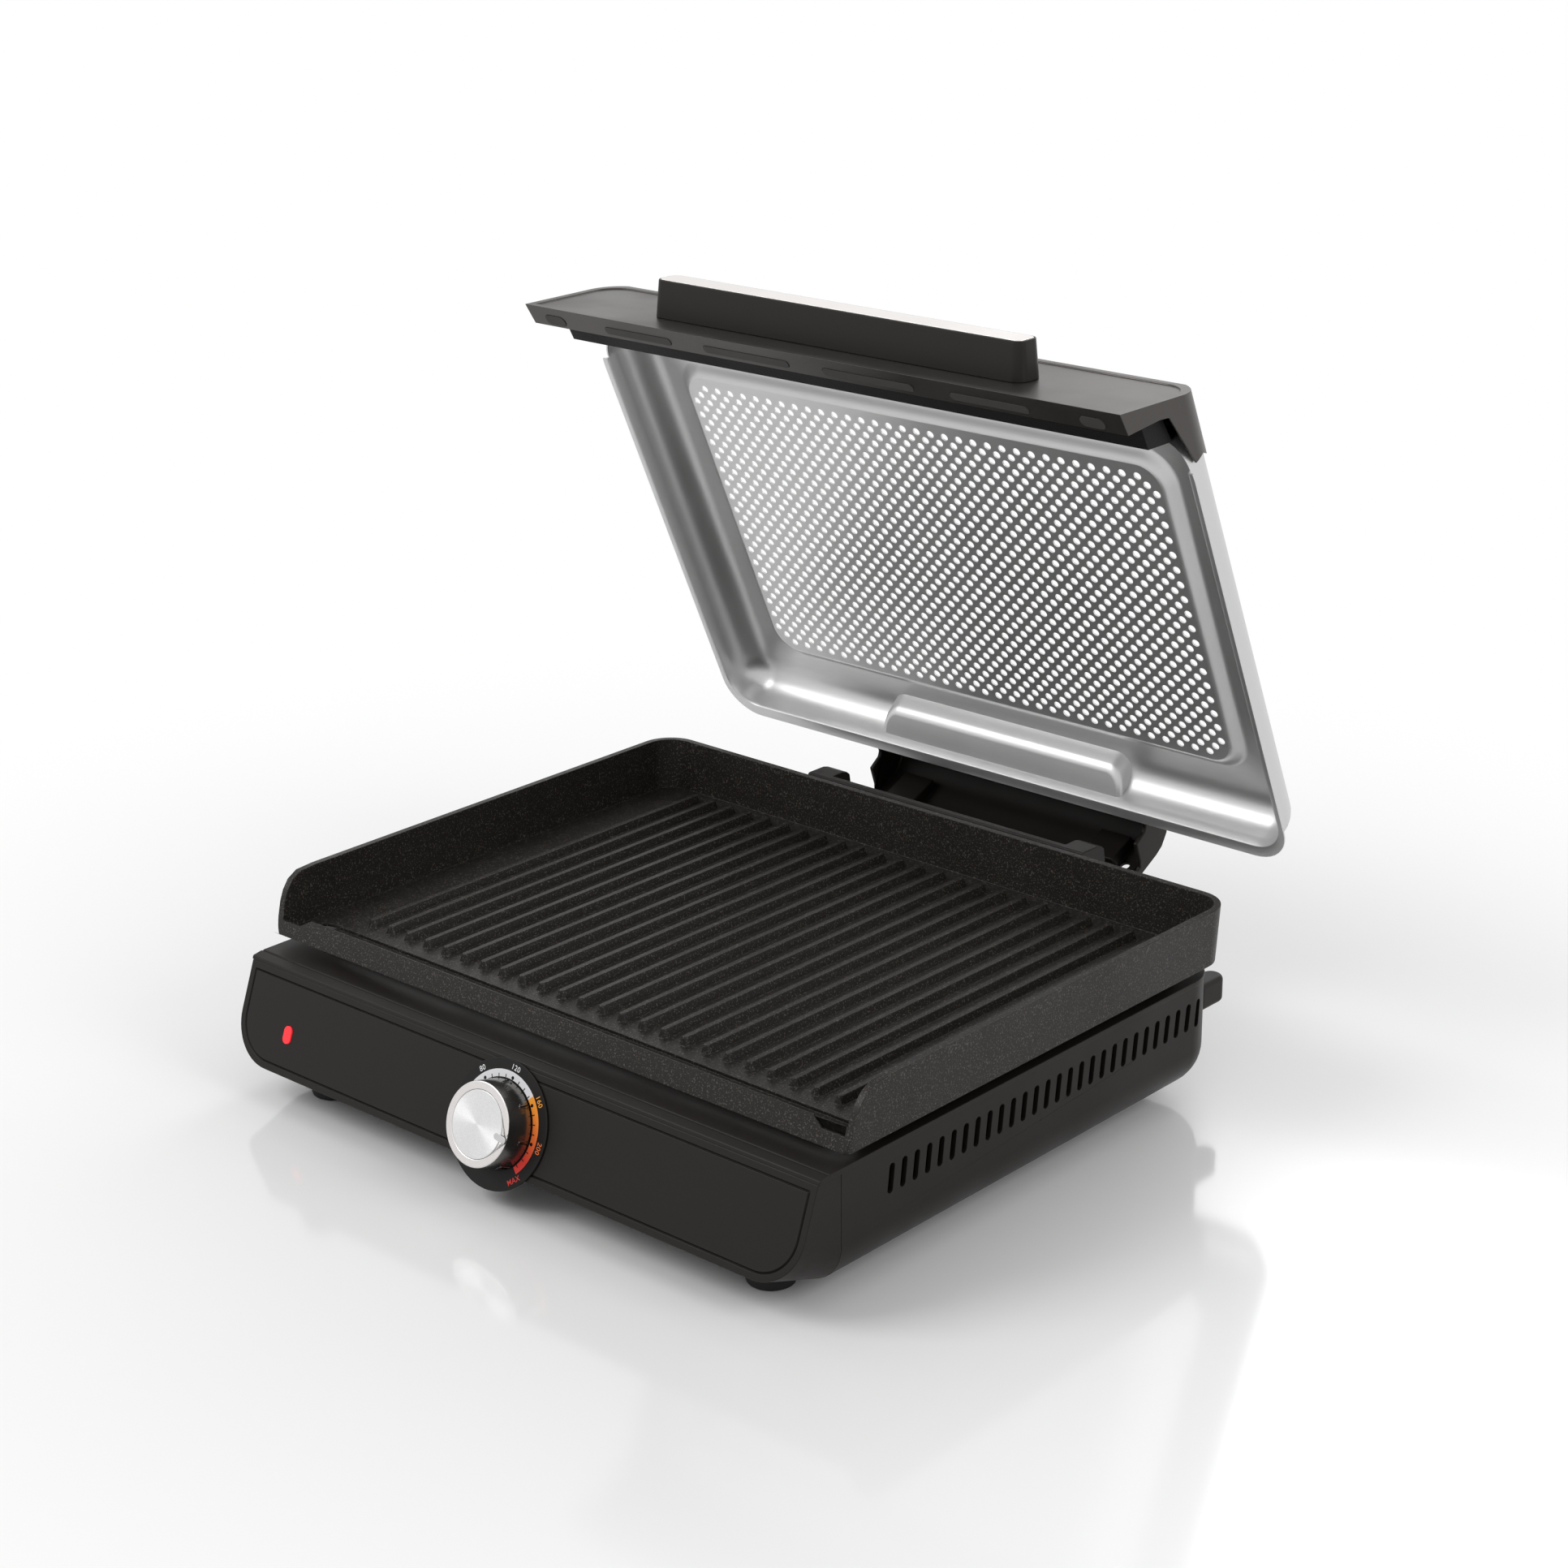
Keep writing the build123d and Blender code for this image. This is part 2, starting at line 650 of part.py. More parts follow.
knob_low = dial_thickness + knob_gap
knob_bore = 8.0
with BuildPart() as thermostat_shaft:
    with BuildSketch(knob_plane.offset(loose - bore_depth)):
        Circle(shaft_r)
    extrude(amount=bore_depth - loose + knob_low + knob_bore)
    with BuildSketch(knob_plane.offset(knob_low)):
        with Locations((0, shaft_r)):
            Rectangle(2 * shaft_r, 1.6)
    extrude(amount=knob_bore, mode=Mode.SUBTRACT)

stat_point = knob_plane.from_local_coords(Vector(0, 4, -stat_back))
stat_away = knob_plane.from_local_coords(Vector(0, 4, -stat_back - 22))
sensor_z = seat_z + belly_recess - sensor_r
with BuildPart() as thermostat_sensor:
    with BuildSketch(Plane.XZ.offset(-sensor_y)):
        with Locations((0, sensor_z)):
            Circle(sensor_r)
    extrude(amount=-sensor_long)
    with BuildLine():
        FilletPolyline(
            (0, sensor_y, sensor_z),
            (0, capillary_y, sensor_z),
            (0, capillary_y, stat_away.Z),
            stat_away,
            stat_point,
            radius=[8, 12, 12],
        )
    with BuildSketch(Plane.XZ.offset(-sensor_y)):
        with Locations((0, sensor_z)):
            Circle(capillary_r)
    sweep()

with BuildPart() as sensor_saddles:
    for saddle_y in (sensor_y + 14, sensor_y + sensor_long - 12):
        with BuildSketch(Plane.XZ.offset(-saddle_y)):
            with Locations((0, (tray_floor + sheet + sensor_z) / 2)):
                Rectangle(12, sensor_z - tray_floor - sheet)
            with Locations((0, sensor_z)):
                Circle(sensor_r + running, mode=Mode.SUBTRACT)
        extrude(amount=saddle_t)

fuse_r = 2.2
with BuildPart() as thermal_fuse:
    with BuildSketch(Plane.YZ.offset(52)):
        with Locations((drop_y + 30, tray_floor - fuse_r - 1)):
            Circle(fuse_r)
    extrude(amount=14)
    with BuildSketch(Plane.XY.offset(tray_floor - fuse_r - 1)):
        with Locations((59, drop_y + 30)):
            Rectangle(6, 7)
    extrude(amount=fuse_r + 1)

with BuildPart() as indicator_lens:
    with BuildSketch(lamp_plane.offset(-fascia_wall)):
        SlotOverall(lens_h, lens_w, rotation=90)
    extrude(amount=fascia_wall + lens_proud)
    fillet(edges().sort_by(Axis.Y)[0:1], 0.3)

lamp_r = 2.4
lamp_long = 12.0
with BuildPart() as lamp_holder:
    with BuildSketch(lamp_plane.offset(-fascia_wall - lamp_long)):
        Rectangle(13, 14)
        Circle(lamp_r + running, mode=Mode.SUBTRACT)
    extrude(amount=lamp_long)

with BuildPart() as indicator_lamp:
    with BuildSketch(lamp_plane.offset(-fascia_wall - lamp_long - 2)):
        Circle(lamp_r)
    extrude(amount=lamp_long + 2)

# ---------------------------------------------------------------- wiring held inside
with BuildPart() as cord_gland:
    with BuildSketch(Plane.XZ.offset(-(rear_y + gland_flange_t))):
        with Locations((gland_x, gland_z)):
            Circle(gland_flange_r)
    extrude(amount=gland_flange_t)
    with BuildSketch(Plane.XZ.offset(-rear_y)):
        with Locations((gland_x, gland_z)):
            Circle(gland_r)
    extrude(amount=base_wall)
    with BuildSketch(Plane.XZ.offset(-(rear_y - base_wall))):
        with Locations((gland_x, gland_z)):
            Circle(gland_flange_r)
    extrude(amount=gland_flange_t)
    with BuildSketch(Plane.XZ.offset(-(rear_y + gland_flange_t))):
        with Locations((gland_x, gland_z)):
            Circle(lead_r + running)
    extrude(amount=base_wall + gland_flange_t, mode=Mode.SUBTRACT)

lead_start = rear_y - base_wall - gland_flange_t
lead_z = foot_height + base_wall + 6
stat_side = knob_plane.from_local_coords(Vector(stat_w / 2, 0, -stat_back + 9))
lead_turn_y = leg_front + 40
lead_in_x = stat_w / 2 + 38
with BuildPart() as mains_lead:
    with BuildLine():
        FilletPolyline(
            (gland_x, lead_start, gland_z),
            (gland_x, lead_start - 30, gland_z),
            (gland_x, lead_start - 70, lead_z + 6),
            (gland_x, lead_turn_y, lead_z + 6),
            ((gland_x + lead_in_x) / 2, (lead_turn_y + stat_side.Y) / 2, lead_z + 8),
            (lead_in_x, stat_side.Y, stat_side.Z),
            stat_side,
            radius=[20, 20, 40, 30, 15],
        )
    with BuildSketch(Plane.XZ.offset(-lead_start)):
        with Locations((gland_x, gland_z)):
            Circle(lead_r - 0.9)
    sweep()

lamp_back = lamp_plane.from_local_coords(Vector(0, 0, -fascia_wall - lamp_long - 2))
lamp_away = lamp_plane.from_local_coords(Vector(0, 0, -fascia_wall - lamp_long - 14))
stat_left = knob_plane.from_local_coords(Vector(-stat_w / 2, 0, -stat_back + 9))
with BuildPart() as lamp_leads:
    with BuildLine():
        FilletPolyline(
            lamp_back,
            lamp_away,
            (lamp_x + 40, stat_left.Y, stat_left.Z),
            stat_left,
            radius=[8, 20],
        )
    with BuildSketch(Plane(origin=lamp_back, z_dir=fascia_normal)):
        Circle(1.5)
    sweep()

with BuildPart() as element_leads:
    for sx in (-1, 1):
        lead_end = knob_plane.from_local_coords(Vector(sx * 11, -6, -stat_back))
        lead_away = knob_plane.from_local_coords(Vector(sx * 11, -6, -stat_back - 14))
        with BuildLine():
            FilletPolyline(
                (sx * leg_in, drop_y, block_z - terminal_out),
                (sx * leg_in, drop_y, lead_away.Z + 4),
                lead_away,
                lead_end,
                radius=[7, 6],
            )
        with BuildSketch(Plane.XY.offset(block_z - terminal_out)):
            with Locations((sx * leg_in, drop_y)):
                Circle(1.5)
        sweep()

# ---------------------------------------------------------------- dial and knob
with BuildPart() as dial_plate:
    with BuildSketch(knob_plane):
        Circle(dial_r)
        Circle(bushing_r + loose, mode=Mode.SUBTRACT)
    extrude(amount=dial_thickness)
    fillet(edges().filter_by(GeomType.CIRCLE).sort_by(SortBy.LENGTH)[-2:].sort_by(Axis.Y)[0:1], 0.4)

turn = math.radians(90 - pointer_angle)
pointer_mid = (pointer_in + pointer_out) / 2
pointer_at = (pointer_mid * math.cos(turn), pointer_mid * math.sin(turn))
pointer_t = 1.0
knob_taper = math.degrees(math.atan((knob_r - knob_top_r) / knob_height))
knob_top = knob_low + knob_height
with BuildPart() as control_knob:
    with BuildSketch(knob_plane.offset(knob_low)):
        Circle(knob_r)
    extrude(amount=knob_height, taper=knob_taper)
    with BuildSketch(knob_plane.offset(knob_low)):
        with PolarLocations(knob_r - 0.6, knob_rib_count, start_angle=90 - pointer_angle):
            Rectangle(1.6, 2.2)
    extrude(amount=knob_height - 2.5, taper=knob_taper)
    with BuildSketch(knob_plane.offset(knob_top - cap_disc_t)):
        Circle(cap_disc_r + running)
        with Locations(pointer_at):
            SlotOverall(pointer_out - pointer_in, pointer_w, rotation=90 - pointer_angle)
    extrude(amount=cap_disc_t, mode=Mode.SUBTRACT)
    with BuildSketch(knob_plane.offset(knob_low)):
        Circle(knob_r - 3.5)
        Circle(shaft_r + 4, mode=Mode.SUBTRACT)
    extrude(amount=knob_height - 6, mode=Mode.SUBTRACT)
    with BuildSketch(knob_plane.offset(knob_low)):
        Circle(shaft_r + running)
        with Locations((0, shaft_r)):
            Rectangle(2 * shaft_r, 1.6 - 2 * running, mode=Mode.SUBTRACT)
    extrude(amount=knob_bore + running, mode=Mode.SUBTRACT)

with BuildPart() as knob_pointer:
    with BuildSketch(knob_plane.offset(knob_top - cap_disc_t)):
        with Locations(pointer_at):
            SlotOverall(pointer_out - pointer_in, pointer_w, rotation=90 - pointer_angle)
    extrude(amount=cap_disc_t + 0.4)

with BuildPart() as knob_cap:
    with BuildSketch(knob_plane.offset(knob_top - cap_disc_t)):
        Circle(cap_disc_r)
    extrude(amount=cap_disc_t)
    add(knob_pointer.part, mode=Mode.SUBTRACT)

# ---------------------------------------------------------------- hinge housing
# Black moulding behind the plate: a hollow foot on the rear panel, a ridge wall and two towers.
housing_z = deck_top - housing_foot
step_z = deck_top - housing_floor
tower_z = deck_top + tower_height
tower_back = tower_y + tower_depth
tower_mid = (tower_x_in + tower_x_out) / 2
with BuildPart() as hinge_housing:
    with BuildSketch(Plane.YZ):
        with BuildLine():
            Polyline(
                (rear_y, housing_z),
                (rear_y, step_z),
                (tower_back, step_z),
                (tower_back, housing_z + 8),
                (tower_back - 8, housing_z),
                close=True,
            )
        make_face()
    extrude(amount=tower_x_out, both=True)
    with BuildSketch(Plane.YZ):
        with BuildLine():
            Polyline(
                (rear_y + base_wall + 1, housing_z),
                (rear_y + base_wall + 1, step_z - base_wall),
                (tower_back - base_wall, step_z - base_wall),
                (tower_back - base_wall, housing_z + 9),
                (tower_back - base_wall - 8, housing_z),
                close=True,
            )
        make_face()
    extrude(amount=tower_x_out - base_wall, both=True, mode=Mode.SUBTRACT)
    with BuildSketch(Plane.YZ):
        with BuildLine():
            Polyline(
                (tower_y, step_z),
                (tower_y, tower_z - 0.8),
                (tower_y + 0.8, tower_z),
                (tower_y + ridge_depth, tower_z),
                (tower_y + ridge_depth, step_z),
                close=True,
            )
        make_face()
    extrude(amount=tower_x_in, both=True)
    for sx in (-1, 1):
        with BuildSketch(Plane.YZ.offset(sx * tower_mid)):
            with BuildLine():
                Polyline(
                    (tower_y, step_z),
                    (tower_y, tower_z - 0.8),
                    (tower_y + 0.8, tower_z),
                    (tower_y + 14, tower_z),
                    (tower_y + 18, tower_z - 1),
                    (tower_y + 20.5, tower_z - 3),
                    (tower_y + 21.5, tower_z - 9),
                    (tower_y + 22, tower_z - 16),
                    (tower_back, tower_z - 26),
                    (tower_back, step_z),
                    close=True,
                )
            make_face()
        extrude(amount=(tower_x_out - tower_x_in) / 2, both=True)
    with BuildSketch(Plane.YZ):
        with Locations((hinge_y, hinge_z)):
            Circle(pin_r + running)
    extrude(amount=tower_x_out, both=True, mode=Mode.SUBTRACT)
    with BuildSketch(Plane.YZ):
        with Locations((hinge_y, hinge_z)):
            Circle(washer_r + loose)
    extrude(amount=tower_x_in + washer_t, both=True, mode=Mode.SUBTRACT)
    with BuildSketch(Plane.XZ.offset(-rear_y)):
        with Locations((-50, step_z - 9), (50, step_z - 9)):
            Circle(screw_r + running)
    extrude(amount=-(base_wall + 1), mode=Mode.SUBTRACT)

with BuildPart() as housing_screws:
    with BuildSketch(Plane.XZ.offset(-(rear_y + base_wall + 1 + screw_head_h))):
        with Locations((-50, step_z - 9), (50, step_z - 9)):
            Circle(screw_head_r)
    extrude(amount=screw_head_h)
    with BuildSketch(Plane.XZ.offset(-(rear_y + base_wall + 1))):
        with Locations((-50, step_z - 9), (50, step_z - 9)):
            Circle(screw_r)
    extrude(amount=base_wall + 1)

with BuildPart() as hinge_pins:
    for sx in (-1, 1):
        with BuildSketch(Plane.YZ.offset(sx * (arm_in + tower_x_out) / 2)):
            with Locations((hinge_y, hinge_z)):
                Circle(pin_r)
        extrude(amount=(tower_x_out - arm_in) / 2, both=True)

with BuildPart() as friction_washers:
    for sx in (-1, 1):
        with BuildSketch(Plane.YZ.offset(sx * (tower_x_in + washer_t / 2))):
            with Locations((hinge_y, hinge_z)):
                Circle(washer_r)
                Circle(pin_r + running, mode=Mode.SUBTRACT)
        extrude(amount=washer_t / 2, both=True)

bumper_z = 46.0
bumper_out = 20.0
bumper_side = 17.5
with BuildPart() as rear_bumpers:
    with BuildSketch(Plane.XY.offset(bumper_z)):
        for sx in (-1, 1):
            with Locations((sx * (side_x - bumper_side), rear_y + bumper_out / 2 - 4)):
                SlotOverall(bumper_out + 8, 13, rotation=90)
    extrude(amount=16)
    fillet(edges().group_by(Axis.Z)[-1] + edges().group_by(Axis.Z)[0], 3)
    add(base_form.part, mode=Mode.SUBTRACT)

# ---------------------------------------------------------------- lid planes
hinge_turn = Location((0, hinge_y, hinge_z), (-lid_open, 0, 0))
lid_place = hinge_turn * Location((0, -hinge_y, -hinge_z))
lid_plan = Plane(lid_place)
lid_side = Plane(lid_place * Plane.YZ.location)
lid_face = Plane(lid_place * Plane.XZ.location)

# ---------------------------------------------------------------- lid pressing
# One thin pressing: rim flange, rolled walls, a step down to the screen and a rear pocket.
cap_in = side_x - cap_end
pan_x = cap_in - cap_clear - sheet
pan_front = front_y + lid_front
pan_rear = lid_rear - flange_rear
top_z = lid_z + lid_height
pocket_y = lid_rear - pocket_front
screen_mid = front_y + (screen_front + screen_rear) / 2
screen_long = screen_rear - screen_front
press_turn = sheet * math.tan(math.atan2(press_depth, press_run) / 2)
lid_up = Axis((0, hinge_y, hinge_z), lid_plan.z_dir)
lid_back = Axis((0, hinge_y, hinge_z), lid_plan.y_dir)


def lid_points(points, y0, z0):
    return [(y0 + y, z0 + z) for y, z in points]


with BuildPart() as press_inside:
    with BuildSketch(lid_plan.offset(top_z - press_depth)):
        with Locations((0, screen_mid)):
            frame_add = 2 * frame_edge
            RectangleRounded(2 * screen_x + frame_add, screen_long + frame_add, screen_corner + frame_edge)
    with BuildSketch(lid_plan.offset(top_z)):
        with Locations((0, screen_mid)):
            frame_add = 2 * (frame_edge + press_run)
            RectangleRounded(2 * screen_x + frame_add, screen_long + frame_add, screen_corner + frame_edge + press_run)
    loft(ruled=True)

with BuildPart() as press_outside:
    with BuildSketch(lid_plan.offset(top_z + sheet - press_depth)):
        with Locations((0, screen_mid)):
            frame_add = 2 * (frame_edge - press_turn)
            RectangleRounded(2 * screen_x + frame_add, screen_long + frame_add, screen_corner + frame_edge)
    with BuildSketch(lid_plan.offset(top_z + sheet)):
        with Locations((0, screen_mid)):
            frame_add = 2 * (frame_edge + press_run - press_turn)
            RectangleRounded(2 * screen_x + frame_add, screen_long + frame_add, screen_corner + frame_edge + press_run)
    loft(ruled=True)

# profile of the rear pocket: from the lid's rear edge, above the underside of the top
pocket_profile = [
    (-pocket_front, 0),
    (-pocket_ridge, -pocket_deep),
    (-flange_rear + 0.6, -pocket_low),
    (4, -pocket_low),
    (4, 6),
    (-pocket_front, 6),
]
pocket_points = lid_points(pocket_profile, lid_rear, top_z)
pocket_bodies = []
for skin in (0, sheet):
    with BuildPart() as pocket_body:
        with BuildSketch(lid_side):
            with BuildLine():
                Polyline(*pocket_points, close=True)
            make_face()
            if skin:
                offset(amount=-skin, kind=Kind.INTERSECTION)
        extrude(amount=pocket_x - skin, both=True)
        front_y0, front_z0 = lid_rear - (pocket_front + pocket_ridge) / 2, top_z - pocket_deep / 2
        ends = [(lid_place * Pos(sx * (pocket_x - skin), front_y0 + skin, front_z0)).position for sx in (-1, 1)]
        fillet([edges().sort_by_distance(end)[0] for end in ends], pocket_corner - skin)
        low_y0 = lid_rear - (pocket_ridge + flange_rear) / 2
        low_z0 = top_z - (pocket_deep + pocket_low) / 2 + skin
        low_face = faces().sort_by_distance((lid_place * Pos(0, low_y0, low_z0)).position)[0]
        low_rear = (lid_place * Pos(0, lid_rear - flange_rear + 0.6, top_z - pocket_low + skin)).position
        fillet(low_face.edges().sort_by_distance(low_rear)[1:], pocket_round - skin)
    pocket_bodies.append(pocket_body.part)
pocket_inside, pocket_outside = pocket_bodies

with BuildPart() as pan_inside:
    with BuildSketch(lid_plan.offset(lid_z)):
        with Locations((0, (pan_front + sheet + pan_rear) / 2)):
            RectangleRounded(2 * pan_x, pan_rear - pan_front - sheet, lid_corner)
    extrude(amount=lid_height)
    fillet(edges().group_by(lid_up)[-1], lid_edge)
    add(press_inside.part, mode=Mode.SUBTRACT)
    add(pocket_inside, mode=Mode.SUBTRACT)

cap_trim = front_y + 66.0
with BuildPart() as pan_outside:
    with BuildSketch(lid_plan.offset(lid_z)):
        with Locations((0, (pan_front + pan_rear + sheet) / 2)):
            RectangleRounded(2 * (pan_x + sheet), pan_rear - pan_front + sheet, lid_corner + sheet)
    extrude(amount=lid_height + sheet)
    fillet(edges().group_by(lid_up)[-1], lid_edge + sheet)
    add(press_outside.part, mode=Mode.SUBTRACT)
    add(pocket_outside, mode=Mode.SUBTRACT)
    with BuildSketch(lid_plan.offset(lid_z)):
        with Locations((0, (cap_trim + lid_rear) / 2)):
            Rectangle(2 * (pan_x + flange_side), lid_rear - cap_trim)
        fillet(vertices().group_by(Axis.Y)[-1], lid_corner + flange_side)
    extrude(amount=sheet)

cap_screw_side = 38.5
cap_screw_x = [cap_screw_side - side_x, -60.0, 60.0, side_x - cap_screw_side]
cap_screw_up = 4.5
cap_screw_points = [(x, lid_z + cap_screw_up) for x in cap_screw_x]
with BuildPart() as lid_pan:
    add(pan_outside.part)
    add(pan_inside.part, mode=Mode.SUBTRACT)
    with BuildSketch(lid_plan.offset(top_z - press_depth - 1)):
        with Locations((0, screen_mid)):
            RectangleRounded(2 * screen_x, screen_long, screen_corner)
    extrude(amount=sheet + 2, mode=Mode.SUBTRACT)
    with BuildSketch(lid_face.offset(-pan_front - 2 * sheet)):
        with Locations(cap_screw_points):
            Circle(screw_r + running)
    extrude(amount=3 * sheet, mode=Mode.SUBTRACT)

# Staggered round holes; the first and last rows are one hole shorter at each end.
hole_columns = int((screen_x - screen_hole_edge) / screen_hole_step)
hole_rows = int((screen_long - screen_hole_start - screen_hole_edge) / screen_hole_step) + 1
screen_low = lid_plan.offset(top_z - press_depth)
with BuildSketch(screen_low) as screen_blank:
    with Locations((0, screen_mid)):
        RectangleRounded(2 * screen_x, screen_long, screen_corner)
hole_points = [
    (column * screen_hole_step, front_y + screen_front + screen_hole_start + row * screen_hole_step)
    for row in range(hole_rows)
    for column in range(-hole_columns, hole_columns + 1)
    if (row + column) % 2 and abs(column) <= hole_columns - 2 * (row in (0, hole_rows - 1))
]
hole_wires = [
    Wire([Edge.make_circle(screen_hole_d / 2, Plane(screen_low.from_local_coords((x, y, 0)), z_dir=screen_low.z_dir))])
    for x, y in hole_points
]
with BuildPart() as lid_screen:
    extrude(Face(screen_blank.sketch.face().outer_wire(), hole_wires), amount=sheet)

# ---------------------------------------------------------------- front cap of the lid
# Side profile from the base's front edge and the lid's rim, and the slope of its front face.
cap_foot = (2.0, -cap_drop)
cap_heel = (16.2, -cap_drop + 2.1)
cap_crest = lid_height + sheet + cap_top
cap_brow = (31.0, cap_crest - 2.0)
cap_profile = [
    cap_foot,
    cap_brow,
    (cap_brow[0] + 2.5, cap_crest),
    (cap_rear, cap_crest),
    (cap_rear, cap_crest - 3.5),
    (cap_rear - 9.3, 14.4),
    (cap_rear - 8.5, 6.5),
    (53.0, 3.0),
    (27.6, -5.1),
    (24.2, -12.0),
    cap_heel,
]
cap_run = (cap_brow[0] - cap_foot[0]) / (cap_brow[1] - cap_foot[1])
cap_lean = math.atan(cap_run)
cap_long = math.hypot(cap_brow[0] - cap_foot[0], cap_brow[1] - cap_foot[1])


def cap_front_at(z, depth):
    return cap_foot[0] + (z - cap_foot[1]) * cap_run + depth / math.cos(cap_lean)


cap_floor = cap_foot[1] + cap_wall + 0.6
heel_top = cap_heel[1] + cap_wall
cap_core_profile = [
    (cap_front_at(cap_floor, cap_wall), cap_floor),
    (cap_front_at(cap_crest - cap_top, cap_wall), cap_crest - cap_top),
    (cap_rear + 10, cap_crest - cap_top),
    (cap_rear + 10, cap_foot[1] - 10),
    (cap_heel[0] + 0.3, cap_foot[1] - 10),
    (cap_heel[0] + 0.3, heel_top),
]
cap_face = Plane(
    lid_place
    * Plane(
        origin=(0, front_y + cap_foot[0], lid_z + cap_foot[1]),
        x_dir=(1, 0, 0),
        z_dir=(0, -math.cos(cap_lean), math.sin(cap_lean)),
    ).location
)
cap_under = Plane(
    lid_place
    * Plane(
        origin=(0, front_y + cap_foot[0], lid_z + cap_foot[1]),
        x_dir=(1, 0, 0),
        z_dir=(0, cap_heel[1] - cap_foot[1], cap_foot[0] - cap_heel[0]),
    ).location
)
cap_slab = lid_face.offset(-(front_y + cap_rear + 20))
cap_reach = cap_rear + 60
with BuildPart() as cap_core:
    with BuildSketch(lid_side):
        with BuildLine():
            Polyline(*lid_points(cap_core_profile, front_y, lid_z), close=True)
        make_face()
    extrude(amount=cap_in, both=True)
    with BuildSketch(cap_slab):
        with Locations((0, lid_z + cap_crest - cap_top - 60)):
            Rectangle(2 * cap_in, 120)
        fillet(vertices().group_by(Axis.Y)[-1], cap_corner - cap_top)
    extrude(amount=cap_reach, mode=Mode.INTERSECT)

pad_sink = 1.0
pad_proud = 0.4
pad_w = 5.0
pad_back = 9.3
pad_spots = [(-123.8, 50.5), (-43.0, 62.0), (43.0, 62.0), (123.8, 50.5)]
oval_side = 19.9
oval_x = side_x - oval_side
oval_w = 7.0
oval_long = 15.5
handle_up = 32.3
handle_w = 20.4
handle_out = 20.5
handle_draft = 5.0
handle_screw_x = 90.0
handle_spots = [(-handle_screw_x, handle_up), (handle_screw_x, handle_up)]
with BuildPart() as lid_cap:
    with BuildSketch(lid_side):
        with BuildLine():
            Polyline(*lid_points(cap_profile, front_y, lid_z), close=True)
        make_face()
    extrude(amount=side_x, both=True)
    with BuildSketch(cap_slab):
        with Locations((0, lid_z + cap_crest - 60)):
            Rectangle(width, 120)
        fillet(vertices().group_by(Axis.Y)[-1], cap_corner)
    extrude(amount=cap_reach, mode=Mode.INTERSECT)
    add(cap_core.part, mode=Mode.SUBTRACT)
    with BuildSketch(cap_face):
        with Locations((0, cap_long / 2)):
            Rectangle(width - 2 * panel_border, cap_long - 2 * panel_border)
        fillet(vertices().group_by(Axis.Y)[-1], cap_corner - panel_border)
    extrude(amount=-panel_depth, mode=Mode.SUBTRACT)
    with BuildSketch(cap_under):
        for pad_x, pad_long in pad_spots:
            with Locations((pad_x, -pad_back)):
                SlotOverall(pad_long, pad_w)
        with Locations((-oval_x, -pad_back), (oval_x, -pad_back)):
            SlotOverall(oval_long, oval_w)
    extrude(amount=-pad_sink, mode=Mode.SUBTRACT)
    with BuildSketch(cap_face):
        with Locations(handle_spots):
            Circle(screw_r + running)
    extrude(amount=-cap_wall, mode=Mode.SUBTRACT)
    for screw_x, screw_z in cap_screw_points:
        boss_tip = pan_front - liner_t
        boss_root = front_y + cap_front_at(cap_screw_up, cap_wall - 0.5)
        with BuildSketch(lid_face.offset(-boss_tip)):
            with Locations((screw_x, screw_z)):
                Circle(screw_r + 2.2)
        extrude(amount=boss_tip - boss_root)
        with BuildSketch(lid_face.offset(-boss_tip)):
            with Locations((screw_x, screw_z)):
                Circle(screw_r + running)
        extrude(amount=8, mode=Mode.SUBTRACT)

with BuildPart() as cap_pads:
    with BuildSketch(cap_under.offset(-pad_sink)):
        for pad_x, pad_long in pad_spots:
            with Locations((pad_x, -pad_back)):
                SlotOverall(pad_long, pad_w)
        with Locations((-oval_x, -pad_back), (oval_x, -pad_back)):
            SlotOverall(oval_long, oval_w)
    extrude(amount=pad_sink + pad_proud)

# black liner that closes the cap towards the food, with a fin at each end
liner_end = lid_front - liner_t
liner_skin = [
    (cap_heel[0] + 0.3, heel_top),
    (17.4, -28.0),
    (19.2, -21.3),
    (38.0, -20.0),
    (lid_front, -1.0),
    (lid_front, 9.0),
]
liner_back = [
    (liner_end, 9.0),
    (liner_end, -0.7),
    (37.0, -18.5),
    (18.0, -19.8),
    (15.9, -28.0),
    (cap_heel[0] + 0.3 - liner_t, heel_top),
]
with BuildPart() as cap_liner:
    with BuildSketch(lid_side):
        with BuildLine():
            Polyline(*lid_points(liner_skin + liner_back, front_y, lid_z), close=True)
        make_face()
    extrude(amount=liner_x, both=True)
    for sx in (-1, 1):
        with BuildSketch(lid_side.offset(sx * (liner_x - liner_t / 2))):
            with BuildLine():
                Polyline(*lid_points(liner_skin[:5] + [(30, -4), (24.2, -12)], front_y, lid_z), close=True)
            make_face()
        extrude(amount=liner_t / 2, both=True)
    with BuildSketch(lid_face.offset(-pan_front)):
        with Locations(cap_screw_points):
            Circle(screw_r + running)
    extrude(amount=liner_t, mode=Mode.SUBTRACT)

with BuildPart() as cap_screws:
    with BuildSketch(lid_face.offset(-pan_front - sheet - screw_head_h)):
        with Locations(cap_screw_points):
            Circle(screw_head_r)
    extrude(amount=screw_head_h)
    with BuildSketch(lid_face.offset(-pan_front - sheet)):
        with Locations(cap_screw_points):
            Circle(screw_r)
    extrude(amount=sheet + liner_t + 7)

